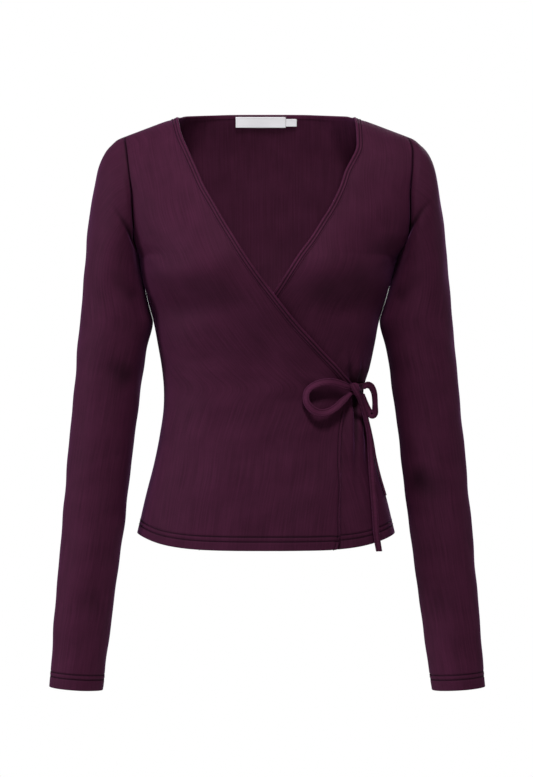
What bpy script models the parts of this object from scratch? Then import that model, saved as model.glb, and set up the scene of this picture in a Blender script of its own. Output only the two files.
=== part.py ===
"""A long-sleeved jersey wrap top, filled out as if worn, with a bow at the wearer's left side of the waist.

Metres, +Z up, the front faces -Y. The origin is midway between the two high shoulder points, where the neck edge
meets the shoulder seams. "down" is a distance below it. Right and left are the wearer's: the right side is at -X.
"""

import math

import bmesh
import bpy
import numpy as np
from mathutils import Matrix, Vector

# Driving sizes
WALL = 0.0013  # the jersey
BAND_WALL = 0.0018  # binding, turned over the cut edge
SEAM_GAP = 0.0003
ARMHOLE_GAP = 0.0005  # between the armhole's edge and the sleeve, whose walls meet at an angle
BAND_WIDTH = 0.0085
BACK_BAND_WIDTH = 0.0072
BAND_PROUD = 0.0005  # the binding stands this much above its panel in its middle
BAND_EDGE_SHARE = 0.4  # and this share of it at its edges

NECK_HALF = 0.1120  # from the middle to the high shoulder point
SHOULDER_HALF = 0.1790
SHOULDER_DROP = 0.0254
ARCH = 0.0750  # the shoulder rounds from its seam to its full depth over this height
NECK_STEEPNESS = 1.6  # the form rises towards the neck inside the high shoulder point
NECK_SOFTNESS = 0.002
BACK_NECK_RISE = 0.0086

ARMHOLE_MIDDLE = 0.1000
UNDERARM_DOWN = 0.1780
ARMHOLE_DEPTH = {"front": 0.054, "back": 0.060}
SQUARENESS = {"front": 2.25, "back": 2.5}
WIDEST_OPENING = 0.93  # of the depth

WAIST_DOWN = 0.3445
HEM_SIDE_DOWN = 0.5278
HEM_FRONT_DROP = 0.0178  # the hem hangs this much lower in the middle
HEM_BACK_DROP = 0.0060
HEM_ROUND = 4.5  # powers: how level the middle of a curve stays before it turns to its ends
NECK_ROUND = 4
NECK_SEAM_ROUND = 8

# Where the fronts cross, the over one rides on the under one: by how much, from where across and over what width
RIDE = {"over": (0.0028, -0.120, 0.120), "under": (-0.0026, 0.120, -0.090)}

TIE_WALL = 0.0018
RIBBON_STEPS = 3  # pieces between two rows of a ribbon's table
LABEL_WALL = 0.0008

# How the panels and sleeves are divided
ARMHOLE_ROWS = 10
WAIST_ROW = 18
LAST_ROW = 26
SLEEVE_RINGS = 24
OVER_COLUMNS = 22
UNDER_COLUMNS = 28
BACK_COLUMNS = (6, 12, 6)  # shoulder, neck, shoulder
SEAM_SLIVER = 0.012  # a narrow first column, so that the wall turns squarely at the side seam
SHOULDER_SLIVER = 0.15  # and a narrow first row at the shoulder seam, as a part of a row
EDGE_CROWDING = 1.7  # a power: the inner ends of the upper rows crowd towards the neck
TOP_ROWS = 4  # over these the columns change from even steps to even turns
RIDGE_FADE = 0.030
PANEL_MIDDLE = 0.095  # half the width of the back's middle columns at the hem
ROWS = [0, SHOULDER_SLIVER, *range(1, LAST_ROW + 1)]


def table(header, *rows):
    """The columns of a table, by name."""
    return dict(zip(header.split(), np.array(rows, float).T))


SIDES = table(
    "down     right   left",
    (0.1780, 0.1605, 0.1660),
    (0.2055, 0.1562, 0.1590),
    (0.2324, 0.1503, 0.1520),
    (0.2578, 0.1435, 0.1440),
    (0.2883, 0.1375, 0.1380),
    (0.3188, 0.1322, 0.1314),
    (0.3445, 0.1295, 0.1242),
    (0.3700, 0.1298, 0.1252),
    (0.4000, 0.1340, 0.1332),
    (0.4407, 0.1418, 0.1402),
    (0.4813, 0.1525, 0.1522),
    (0.5278, 0.1635, 0.1635),
)

ARMHOLES = table(
    "down     right   left",
    (0.0254, 0.1790, 0.1790),
    (0.0400, 0.1765, 0.1840),
    (0.0600, 0.1735, 0.1838),
    (0.1000, 0.1685, 0.1808),
    (0.1400, 0.1668, 0.1805),
    (0.1600, 0.1650, 0.1765),
    (0.1780, 0.1605, 0.1660),
)

DEPTHS = table(
    "down      front   back",
    (-0.0100, 0.0480, 0.0620),
    (0.0500, 0.0740, 0.0860),
    (0.1000, 0.0940, 0.0960),
    (0.1500, 0.1090, 0.1000),
    (0.1900, 0.1140, 0.0985),
    (0.2300, 0.1110, 0.0930),
    (0.2700, 0.1010, 0.0865),
    (0.3150, 0.0905, 0.0810),
    (0.3600, 0.0870, 0.0805),
    (0.4100, 0.0900, 0.0890),
    (0.4600, 0.0965, 0.1010),
    (0.5000, 0.1000, 0.1090),
    (0.5450, 0.1020, 0.1130),
)

# The free edge of each front: how far across it has come, negative while it is still on its own side
EDGES = table(
    "down      over     under",
    (0.0000, -0.1120, -0.1120),
    (0.0270, -0.1054, -0.1134),
    (0.0465, -0.0970, -0.1120),
    (0.0600, -0.0911, -0.1054),
    (0.0725, -0.0856, -0.0990),
    (0.0925, -0.0768, -0.0922),
    (0.1165, -0.0632, -0.0813),
    (0.1385, -0.0508, -0.0679),
    (0.1600, -0.0377, -0.0546),
    (0.1800, -0.0252, -0.0397),
    (0.2030, -0.0094, -0.0249),
    (0.2264, 0.0086, -0.0093),
    (0.2606, 0.0357, 0.0200),
    (0.2931, 0.0649, 0.0490),
    (0.3257, 0.0946, 0.0790),
    (0.3445, 0.1080, 0.0960),
    (0.3620, 0.1000, 0.0950),
    (0.3850, 0.0955, 0.0940),
    (0.4500, 0.0925, 0.0920),
    (0.5450, 0.0912, 0.0900),
)

BUST = {"across": 0.080, "down": 0.196, "height": 0.017, "wide": 0.050, "above": 0.062, "below": 0.040}

FOLD_RISE = 0.3  # a fold reaches its full height over this share of its length
# Soft ridges of cloth that run from the bow: where each starts and ends, how high and how wide it is
FOLDS = table(
    "x1      down1   x2      down2   height  width",
    (0.1150, 0.3360, 0.1180, 0.2750, 0.0040, 0.0060),
    (0.1020, 0.3260, 0.1010, 0.2750, 0.0032, 0.0055),
    (0.1170, 0.3560, 0.1250, 0.4350, 0.0046, 0.0052),
    (0.1040, 0.3600, 0.1080, 0.4400, 0.0042, 0.0052),
    (0.0850, 0.3450, 0.0150, 0.3150, 0.0026, 0.0070),
    (0.0850, 0.3560, 0.0250, 0.3900, 0.0024, 0.0070),
)

# Sections through a sleeve from the shoulder to the cuff: its outer and inner side, half its depth, how far forward
SLEEVE = table(
    "outer   down_out inner   down_in  depth   forward",
    (0.1922, 0.0324, 0.1612, 0.1790, 0.0580, 0.0000),
    (0.2035, 0.0444, 0.1608, 0.1815, 0.0578, 0.0000),
    (0.2126, 0.0640, 0.1602, 0.1845, 0.0570, 0.0000),
    (0.2184, 0.0900, 0.1596, 0.1880, 0.0555, 0.0000),
    (0.2230, 0.1180, 0.1590, 0.1930, 0.0540, 0.0000),
    (0.2265, 0.1490, 0.1580, 0.1995, 0.0520, 0.0000),
    (0.2297, 0.1830, 0.1560, 0.2110, 0.0500, 0.0000),
    (0.2328, 0.2200, 0.1514, 0.2310, 0.0484, 0.0000),
    (0.2358, 0.2578, 0.1456, 0.2590, 0.0470, -0.0005),
    (0.2390, 0.2920, 0.1512, 0.2920, 0.0455, -0.0010),
    (0.2422, 0.3300, 0.1568, 0.3300, 0.0440, -0.0020),
    (0.2486, 0.4000, 0.1658, 0.4000, 0.0410, -0.0050),
    (0.2552, 0.4813, 0.1750, 0.4813, 0.0380, -0.0100),
    (0.2618, 0.5626, 0.1854, 0.5626, 0.0345, -0.0160),
    (0.2680, 0.6440, 0.1958, 0.6450, 0.0315, -0.0220),
    (0.2732, 0.7205, 0.2065, 0.7250, 0.0295, -0.0270),
)
TOUCHING_DOWN = 0.30  # above this the sleeve lies against the body
BULGE_RINGS = 8  # the armhole seam's own curve dies out over these rows
SLEEVE_SIDE = {-1: (0.0, 0.0), 1: (-0.0016, 0.0030)}  # how much farther out a sleeve's outer side is, and how much
# its inner side goes out per metre of its length

# The bow. A loop is turned about its own run by "turn" degrees, its outer edge forward, or back below 0. A tail's far
# edge lifts off the cloth by it. The front tail starts over the knot.
KNOT = {"x": 0.1080, "down": 0.3453, "out": 0.0081, "half": (0.0078, 0.0055, 0.0072)}
KNOT_WAIST = {"drawn_in": 0.16, "wide": 0.35}
LOOP_FRONT = table(
    "x       down    y        width   turn",
    (0.1087, 0.3440, -0.0606, 0.0042, 12),
    (0.1040, 0.3430, -0.0664, 0.0066, 5),
    (0.0963, 0.3406, -0.0738, 0.0084, -8),
    (0.0869, 0.3377, -0.0814, 0.0090, -20),
    (0.0774, 0.3367, -0.0878, 0.0090, -28),
    (0.0668, 0.3382, -0.0917, 0.0090, -32),
    (0.0575, 0.3422, -0.0924, 0.0090, -36),
    (0.0512, 0.3483, -0.0925, 0.0090, -38),
    (0.0494, 0.3558, -0.0924, 0.0090, -36),
    (0.0510, 0.3633, -0.0926, 0.0090, -26),
    (0.0574, 0.3709, -0.0927, 0.0090, -8),
    (0.0668, 0.3752, -0.0909, 0.0090, 12),
    (0.0775, 0.3737, -0.0870, 0.0090, 25),
    (0.0875, 0.3680, -0.0812, 0.0090, 28),
    (0.0961, 0.3598, -0.0740, 0.0084, 24),
    (0.1028, 0.3538, -0.0672, 0.0066, 18),
    (0.1085, 0.3491, -0.0606, 0.0042, 12),
)
LOOP_SIDE = table(
    "x       down    y        width   turn",
    (0.1214, 0.3512, -0.0490, 0.0042, 5),
    (0.1220, 0.3558, -0.0480, 0.0066, 8),
    (0.1240, 0.3635, -0.0455, 0.0084, 12),
    (0.1280, 0.3725, -0.0430, 0.0090, 10),
    (0.1328, 0.3782, -0.0436, 0.0090, 5),
    (0.1364, 0.3755, -0.0452, 0.0090, 28),
    (0.1367, 0.3663, -0.0472, 0.0090, 46),
    (0.1364, 0.3582, -0.0476, 0.0090, 46),
    (0.1353, 0.3499, -0.0484, 0.0090, 40),
    (0.1318, 0.3426, -0.0496, 0.0090, 30),
    (0.1270, 0.3404, -0.0508, 0.0086, 22),
    (0.1241, 0.3422, -0.0502, 0.0066, 14),
    (0.1227, 0.3446, -0.0490, 0.0042, 10),
)
TAIL_FRONT = table(
    "x       down    out     width   turn",
    (0.1044, 0.3392, 0.0116, 0.0080, 25),
    (0.1035, 0.3458, 0.0146, 0.0086, 24),
    (0.1048, 0.3524, 0.0148, 0.0088, 26),
    (0.1078, 0.3589, 0.0134, 0.0088, 28),
    (0.1112, 0.3682, 0.0106, 0.0088, 32),
    (0.1162, 0.3813, 0.0077, 0.0088, 37),
    (0.1222, 0.3936, 0.0051, 0.0088, 38),
    (0.1259, 0.4072, 0.0049, 0.0088, 39),
    (0.1286, 0.4284, 0.0048, 0.0088, 37),
    (0.1303, 0.4508, 0.0045, 0.0088, 32),
    (0.1323, 0.4719, 0.0041, 0.0088, 27),
    (0.1342, 0.4942, 0.0039, 0.0088, 23),
    (0.1366, 0.5245, 0.0036, 0.0088, 20),
    (0.1402, 0.5455, 0.0036, 0.0084, 20),
)
TAIL_SIDE = table(
    "x       down    out     width   turn",
    (0.1122, 0.3499, 0.0066, 0.0046, 5),
    (0.1190, 0.3600, 0.0045, 0.0072, 2),
    (0.1232, 0.3730, 0.0035, 0.0088, 0),
    (0.1282, 0.3900, 0.0028, 0.0090, 0),
    (0.1330, 0.4120, 0.0028, 0.0090, 0),
    (0.1364, 0.4320, 0.0028, 0.0090, 0),
    (0.1426, 0.4560, 0.0028, 0.0090, 0),
    (0.1500, 0.4800, 0.0028, 0.0088, 0),
)
STRETCH = {"seam_turn": 88.0, "knot_turn": 62.8, "down": 0.3435, "out": 0.0025, "width": 0.0085}

LABEL = {"left": 0.0254, "right": -0.0392, "top": 0.0055, "height": 0.0135}
SIZE_TAB = {"left": 0.0396, "right": 0.0257, "top": 0.0030, "height": 0.0095}

JERSEY = (0.060, 0.013, 0.033, 1.0)
WHITE = (0.80, 0.79, 0.77, 1.0)


# ---- The form of the body


def smooth(at, places, values):
    """A smooth curve through a table's rows, held level past its ends."""
    places, values = np.asarray(places, float), np.asarray(values, float)
    slopes = np.gradient(values, places)
    at = np.clip(at, places[0], places[-1])
    i = np.clip(np.searchsorted(places, at) - 1, 0, len(places) - 2)
    step = places[i + 1] - places[i]
    t = (at - places[i]) / step
    return (
        values[i] * (1 + 2 * t) * (1 - t) ** 2
        + slopes[i] * step * t * (1 - t) ** 2
        + values[i + 1] * t**2 * (3 - 2 * t)
        - slopes[i + 1] * step * t**2 * (1 - t)
    )


def ease(t):
    t = np.clip(t, 0, 1)
    return t * t * (3 - 2 * t)


def ridge(x):
    """The height of the shoulder seam, rising towards the neck inside the high shoulder point."""
    fall = SHOULDER_DROP / (SHOULDER_HALF - NECK_HALF)
    inside = NECK_HALF - np.abs(x)
    rise = NECK_SOFTNESS * np.logaddexp(0, inside / NECK_SOFTNESS)
    return fall * inside + (NECK_STEEPNESS - fall) * rise


def side_half(x, down):
    """From the middle to the side seam or, above the underarm, to the armhole seam."""
    at = []
    for side in ("right", "left"):
        above = smooth(down, ARMHOLES["down"], ARMHOLES[side])
        below = smooth(down, SIDES["down"], SIDES[side])
        at.append(np.where(down < UNDERARM_DOWN, above, below))
    return np.where(x < 0, at[0], at[1])


def full_depth(x, down, face):
    """The depth of the middle of the front or back, with the bust on the front."""
    depth = smooth(down, DEPTHS["down"], DEPTHS[face])
    if face == "front":
        across = (np.abs(x) - BUST["across"]) / BUST["wide"]
        spread = np.where(down < BUST["down"], BUST["above"], BUST["below"])
        along = (down - BUST["down"]) / spread
        depth = depth + BUST["height"] * np.exp(-(across**2) - along**2)
    return depth


def section_half(x, down, face):
    """The half width of the rounded section that passes through the seam. It is wider than the panel at an armhole."""
    n = SQUARENESS[face]
    seam = side_half(x, down)
    below_middle = np.clip((down - ARMHOLE_MIDDLE) / (UNDERARM_DOWN - ARMHOLE_MIDDLE), 0, 1)
    opening = ARMHOLE_DEPTH[face] * np.sqrt(1 - below_middle**2)
    share = np.clip(opening / full_depth(seam, down, face), 0, WIDEST_OPENING)
    return seam / (1 - share**n) ** (1 / n)


def body_depth(x, z, face):
    """How far the cloth stands in front of, or behind, the plane of the side seams."""
    n = SQUARENESS[face]
    reach = np.clip(np.abs(x) / section_half(x, -z, face), 0, 1)
    under = np.clip((ridge(x) - z) / ARCH, 0, 1)
    return full_depth(x, -z, face) * (1 - reach**n) ** (1 / n) * np.sqrt(1 - (1 - under) ** 2)


def outward(x, z, face):
    """The level direction straight out of the cloth."""
    n = SQUARENESS[face]
    half = section_half(x, -z, face)
    reach = np.clip(np.abs(x) / half, 0, 1)
    depth = full_depth(x, -z, face)
    along_x = np.sign(x) * reach ** (n - 1) / half
    along_y = (1 - reach**n) ** ((n - 1) / n) / depth * (-1 if face == "front" else 1)
    size = np.hypot(along_x, along_y)
    return along_x / size, along_y / size


def fold_height(x, down):
    """The soft ridges that run from the bow."""
    height = np.zeros(np.broadcast(x, down).shape)
    for x1, d1, x2, d2, top, wide in zip(*(FOLDS[c] for c in ("x1", "down1", "x2", "down2", "height", "width"))):
        run = np.array([x2 - x1, d2 - d1])
        length = np.hypot(*run)
        t = ((x - x1) * run[0] + (down - d1) * run[1]) / length**2
        off = ((x - x1) * run[1] - (down - d1) * run[0]) / length
        height += top * np.exp(-((off / wide) ** 2)) * ease(t / FOLD_RISE) * (1 - ease(t))
    return height


def on_body(x, z, face, out=0.0):
    """Points of the cloth's outer surface at x and z, moved out by so much."""
    x, z = np.broadcast_arrays(np.asarray(x, float), np.asarray(z, float))
    nx, ny = outward(x, z, face)
    if face == "front":
        out = out + fold_height(x, -z)
    y = body_depth(x, z, face) + SEAM_GAP / 2
    y = -y if face == "front" else y
    return np.stack([x + nx * out, y + ny * out, z], axis=-1)


# ---- Rows and columns of the panels


def armhole_down(row):
    """The rows that end on the armhole come at even angles round it."""
    turn = math.pi * row / ARMHOLE_ROWS
    height = ARMHOLE_MIDDLE - SHOULDER_DROP if turn < math.pi / 2 else UNDERARM_DOWN - ARMHOLE_MIDDLE
    return ARMHOLE_MIDDLE - height * math.cos(turn)


def hem_down(across, drop):
    """The hem, lowest in the middle. across is from 0 in the middle to 1 at the side seam."""
    return HEM_SIDE_DOWN + drop * (1 - np.abs(across) ** HEM_ROUND)


def row_downs(row):
    """How far down a row is at the side and at the inner edge, above the hem."""
    if row <= ARMHOLE_ROWS:
        return armhole_down(row), UNDERARM_DOWN * (row / ARMHOLE_ROWS) ** EDGE_CROWDING
    if row <= WAIST_ROW:
        t = (row - ARMHOLE_ROWS) / (WAIST_ROW - ARMHOLE_ROWS)
        down = UNDERARM_DOWN + (WAIST_DOWN - UNDERARM_DOWN) * t
        return down, down
    t = (row - WAIST_ROW) / (LAST_ROW - WAIST_ROW)
    down = WAIST_DOWN + (HEM_SIDE_DOWN - WAIST_DOWN) * t
    return down, down


def hung(x, outer, inner, top, row):
    """The height at x of a row between its two ends, which keeps the shape of the top edge in the upper rows."""
    share = (x - outer[0]) / (inner[0] - outer[0])
    level = outer[1] + (inner[1] - outer[1]) * share
    chord = top(outer[0]) + (top(inner[0]) - top(outer[0])) * share
    return level + (1 - ease(row / ARMHOLE_ROWS)) * (top(x) - chord)


def edge_points(side, name):
    """The free edge of a front and the seam of its binding, row by row, as x and z."""
    toward = -side  # the way across the body
    rows = np.array(ROWS)
    downs = np.array([row_downs(row)[1] for row in ROWS])
    x = toward * smooth(downs, EDGES["down"], EDGES[name])
    edge = np.stack([x, float(ridge(NECK_HALF)) * (1 - ease(rows / TOP_ROWS)) - downs], axis=1)
    run = np.gradient(edge, axis=0)
    run /= np.hypot(run[:, 0], run[:, 1])[:, None]
    seam = edge + BAND_WIDTH * np.stack([run[:, 1], -run[:, 0]], axis=1) * toward
    seam[0, 0] = edge[0, 0] + side * BAND_WIDTH
    seam[:, 1] = np.minimum(seam[:, 1], ridge(seam[:, 0]) - downs)
    return edge, seam


def layer(x, name):
    """The wrap-over front rides over the under front where they cross."""
    lift, start, width = RIDE[name]
    return lift * ease((x - start) / width)


def spaced(count, sliver=SEAM_SLIVER, crowded=0.0, at=0.2, width=0.1):
    """Places from 0 to 1, with a sliver first, crowded together near one of them."""
    fine = np.linspace(0, 1, 400)
    pull = np.cumsum(1 + crowded * np.exp(-(((fine - at) / width) ** 2)))
    pull = (pull - pull[0]) / (pull[-1] - pull[0])
    return np.concatenate([[0, sliver], np.interp(np.linspace(0, 1, count)[1:], pull, fine)])


def front_points(side, name, columns):
    """The grid of a front panel, from its side seam and armhole to its inner edge."""
    edge, seam = edge_points(side, name)
    grid = []
    for row, on_edge, on_seam in zip(ROWS, edge, seam):
        outer_down = row_downs(row)[0]
        inner = on_seam if row <= WAIST_ROW else on_edge
        outer = (side * float(side_half(side, outer_down)), -outer_down)
        turn_out = side * math.asin(min(1, abs(outer[0]) / float(section_half(side, outer_down, "front"))))
        turn_in = math.asin(inner[0] / float(section_half(inner[0], -inner[1], "front")))
        turn = turn_out + (turn_in - turn_out) * columns
        even = x = outer[0] + (inner[0] - outer[0]) * columns
        for _ in range(6):
            z = hung(x, outer, inner, ridge, row)
            if row > WAIST_ROW:
                hem = (row - WAIST_ROW) / (LAST_ROW - WAIST_ROW)
                z = z - hem * (hem_down(np.sin(turn), HEM_FRONT_DROP) - HEM_SIDE_DOWN)
            x = even + (section_half(x, -z, "front") * np.sin(turn) - even) * ease(row / TOP_ROWS)
        x[0], x[-1] = outer[0], inner[0]
        grid.append(on_body(x, z, "front", layer(x, name)))
    return np.array(grid)


def back_edge(count):
    """The back neck edge and the seam of its binding, from side to side, as x and z."""
    s = np.linspace(-1, 1, count)
    x = s * NECK_HALF
    high = float(ridge(NECK_HALF))
    z = BACK_NECK_RISE - (BACK_NECK_RISE - high) * np.abs(s) ** NECK_ROUND
    seam_x = s * (NECK_HALF + BAND_WIDTH)
    end = float(ridge(NECK_HALF + BAND_WIDTH))
    outer = np.abs(s) ** NECK_SEAM_ROUND
    seam_z = (z - BACK_BAND_WIDTH) * (1 - outer) + end * outer
    return np.stack([x, z], 1), np.stack([seam_x, seam_z], 1)


def back_points():
    """The grid of the back, from its right side seam to its left."""
    shoulder, neck, _ = BACK_COLUMNS
    _, seam = back_edge(neck + 1)

    def top(x):
        return np.where(np.abs(x) < seam[-1, 0], np.interp(x, seam[:, 0], seam[:, 1]), ridge(x))

    def across(right, left, corner):
        return np.concatenate(
            [
                right + (-corner - right) * spaced(shoulder)[:-1],
                corner * np.linspace(-1, 1, neck + 1),
                left + (corner - left) * spaced(shoulder)[::-1][1:],
            ]
        )

    grid = []
    for row in ROWS:
        outer_down, middle_down = row_downs(row)
        middle_z = float(top(0)) * (1 - ease(row / TOP_ROWS)) - middle_down
        ends = [s * float(side_half(s, outer_down)) for s in (-1, 1)]
        turns = [s * math.asin(min(1, abs(e) / float(section_half(s, outer_down, "back")))) for s, e in zip((-1, 1), ends)]
        corner = seam[-1, 0] + (PANEL_MIDDLE - seam[-1, 0]) * row / LAST_ROW
        corner_turn = math.asin(corner / float(section_half(1, SHOULDER_DROP + middle_down, "back")))
        turn = across(*turns, corner_turn)
        even = x = across(*ends, corner)
        for _ in range(6):
            outer = (np.where(x < 0, *ends), -outer_down)
            z = hung(x, outer, (0, middle_z), top, row)
            if row > WAIST_ROW:
                hem = (row - WAIST_ROW) / (LAST_ROW - WAIST_ROW)
                z = z - hem * (hem_down(np.sin(turn), HEM_BACK_DROP) - HEM_SIDE_DOWN)
            x = even + (section_half(x, -z, "back") * np.sin(turn) - even) * ease(row / TOP_ROWS)
        x[0], x[-1] = ends
        grid.append(on_body(x, z, "back"))
    return np.array(grid)


def band_points(edge, seam, width, face, lift, columns=4):
    """The grid of a binding, between its seam and the free edge, a little proud of its panel and crowned."""
    keep = 1 - ease((ridge(edge[:, 0]) - edge[:, 1]) / RIDGE_FADE)
    start = SEAM_GAP / width
    grid = []
    for t in np.linspace(0, 1, columns):
        share = start + (1 - start) * t
        x, z = (seam + (edge - seam) * share).T
        z = z + keep * (ridge(x) - ridge(seam[:, 0]) * (1 - share) - ridge(edge[:, 0]) * share)
        crown = BAND_PROUD * (BAND_EDGE_SHARE + (1 - BAND_EDGE_SHARE) * math.sin(math.pi * t))
        grid.append(on_body(x, z, face, lift(x) + crown))
    return np.array(grid)


# ---- The sleeves


def armhole_ring(side, angles):
    """The armhole seam, from the shoulder round the front to the underarm and back up behind."""
    ring = []
    for turn in angles:
        face = "front" if turn <= math.pi else "back"
        height = ARMHOLE_MIDDLE - SHOULDER_DROP if math.cos(turn) > 0 else UNDERARM_DOWN - ARMHOLE_MIDDLE
        down = ARMHOLE_MIDDLE - height * math.cos(turn)
        x = side * float(side_half(side, down))
        z = min(-down, float(ridge(x)))
        lean = ease(np.clip((math.acos(math.cos(turn)) / math.pi - 0.5) * 2, 0, 1)) * math.pi / 2
        y = float(body_depth(x, z, face)) * (-1 if face == "front" else 1)
        away = ARMHOLE_GAP
        ring.append((x + side * away * math.cos(lean), y, z + away * math.sin(lean)))
    return np.array(ring)


def sleeve_points(side):
    """Rings of a sleeve, from the armhole seam to the cuff."""
    front = [math.pi * row / ARMHOLE_ROWS for row in ROWS if row <= ARMHOLE_ROWS]
    angles = np.array(front + [2 * math.pi - turn for turn in front[-2:0:-1]])
    rows = np.arange(len(SLEEVE["outer"]))
    armhole = armhole_ring(side, angles)
    top, under = armhole[0], armhole[len(front) - 1]
    share = (1 - np.cos(angles))[:, None] / 2
    bulge = (armhole - (top + (under - top) * share))[:, 0]  # how far the armhole seam leaves its own plane
    rings = [armhole]
    for at in np.linspace(0, rows[-1], SLEEVE_RINGS - 1):
        ox, od, ix, dn, depth, forward = (
            float(smooth(at, rows, SLEEVE[c])) for c in ("outer", "down_out", "inner", "down_in", "depth", "forward")
        )
        farther, lean = SLEEVE_SIDE[side]
        ox, ix = ox + farther, ix + lean * dn
        if dn < TOUCHING_DOWN:
            ix = max(ix, float(side_half(side, dn)) + 2 * SEAM_GAP)
        middle, reach = np.array([(ox + ix) / 2, -(od + dn) / 2]), np.array([(ox - ix) / 2, (dn - od) / 2])
        x = side * (middle[0] + reach[0] * np.cos(angles)) + bulge * (1 - ease(at / BULGE_RINGS))
        z = middle[1] + reach[1] * np.cos(angles)
        rings.append(np.stack([x, forward - depth * np.sin(angles), z], axis=1))
    return np.array(rings)


# ---- The ties


def along(rows, columns):
    """A table's columns, smoothly between its rows."""
    index = np.arange(len(rows["x"]))
    at = np.linspace(0, index[-1], RIBBON_STEPS * index[-1] + 1)
    return [smooth(at, index, rows[c]) for c in columns.split()]


def ribbon(line, across, width):
    across = across / np.linalg.norm(across, axis=1)[:, None]
    half = width[:, None] / 2
    return np.array([line - across * half, line, line + across * half])


def loop_points(rows):
    """A loop of ribbon, from the knot round to the knot, that turns about its own run."""
    x, down, y, width, turn = along(rows, "x down y width turn")
    line = np.stack([x, y, -down], axis=1)
    run = np.gradient(line, axis=0)
    outer = np.stack([run[:, 2], 0 * x, -run[:, 0]], axis=1) / np.hypot(run[:, 0], run[:, 2])[:, None]
    turn = np.radians(turn)[:, None]
    return ribbon(line, outer * np.cos(turn) + np.array([0, -1, 0]) * np.sin(turn), width)


def tail_points(rows):
    """A tail of ribbon that hangs along the cloth, its far edge lifted."""
    x, down, out, width, turn = along(rows, "x down out width turn")
    nx, ny = outward(x, -down, "front")
    turn = np.radians(turn)[:, None]
    level = np.stack([-ny, nx, 0 * nx], axis=1)
    normal = np.stack([nx, ny, 0 * nx], axis=1)
    return ribbon(on_body(x, -down, "front", out), level * np.cos(turn) + normal * np.sin(turn), width)


def stretch_points():
    """The tie that comes forward from the side seam to the knot, flat on the cloth, at even turns round the waist."""
    turn = np.radians(np.linspace(STRETCH["seam_turn"], STRETCH["knot_turn"], 9))
    grid = []
    for rise in (-0.5, 0, 0.5):
        down = STRETCH["down"] - rise * STRETCH["width"]
        x = section_half(1, down, "front") * np.sin(turn)
        grid.append(on_body(x, -down, "front", STRETCH["out"]))
    return np.array(grid)


# ---- Making objects


def material(name, colour, roughness):
    made = bpy.data.materials.new(name)
    made.use_nodes = True
    shader = made.node_tree.nodes["Principled BSDF"]
    shader.inputs["Base Color"].default_value = colour
    shader.inputs["Roughness"].default_value = roughness
    shader.inputs["Metallic"].default_value = 0.0
    return made


def sheet(name, grid, wall, colour, closed=False, offset=-1.0, flip=False):
    """An open surface through a grid of points, given its wall by Solidify."""
    rows, columns = grid.shape[:2]
    mesh = bmesh.new()
    points = [[mesh.verts.new(Vector(p)) for p in row] for row in grid]
    for i in range(rows - 1):
        for j in range(columns if closed else columns - 1):
            k = (j + 1) % columns
            face = [points[i][j], points[i + 1][j], points[i + 1][k], points[i][k]]
            mesh.faces.new(face[::-1] if flip else face)
    data = bpy.data.meshes.new(name)
    mesh.to_mesh(data)
    mesh.free()
    data.shade_smooth()
    made = bpy.data.objects.new(name, data)
    data.materials.append(material(name, colour, 0.8))
    garment.objects.link(made)
    thickness = made.modifiers.new("wall", "SOLIDIFY")
    thickness.thickness = wall
    thickness.offset = offset
    return made


def knot():
    """A pulled knot: a rounded lump, drawn in at its waist, turned to face out of the cloth."""
    x, down = KNOT["x"], KNOT["down"]
    nx, ny = (float(v) for v in outward(np.array(x), np.array(-down), "front"))
    lump = bmesh.new()
    bmesh.ops.create_uvsphere(lump, u_segments=16, v_segments=10, radius=1.0)
    for v in lump.verts:
        waist = 1 - KNOT_WAIST["drawn_in"] * math.exp(-((v.co.x / KNOT_WAIST["wide"]) ** 2))
        v.co = Vector((v.co.x * KNOT["half"][0], v.co.y * KNOT["half"][1] * waist, v.co.z * KNOT["half"][2] * waist))
    data = bpy.data.meshes.new("tie_knot")
    lump.to_mesh(data)
    lump.free()
    data.shade_smooth()
    made = bpy.data.objects.new("tie_knot", data)
    data.materials.append(material("tie_knot", JERSEY, 0.8))
    centre = on_body(x, -down, "front", KNOT["out"])
    made.matrix_world = Matrix.Translation(Vector(centre)) @ Matrix.Rotation(math.atan2(nx, -ny), 4, "Z")
    garment.objects.link(made)
    return made


def label(name, place, columns):
    """A woven label on the inside of the back, just below the neck edge."""
    x = np.linspace(place["right"], place["left"], columns)
    z = [place["top"], place["top"] - place["height"]]
    grid = []
    for height in z:
        points = on_body(x, np.full(columns, height), "back")
        points[:, 1] -= BAND_WALL + LABEL_WALL + 2 * SEAM_GAP
        grid.append(points)
    return sheet(name, np.array(grid), LABEL_WALL, WHITE, offset=-1.0)


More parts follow.
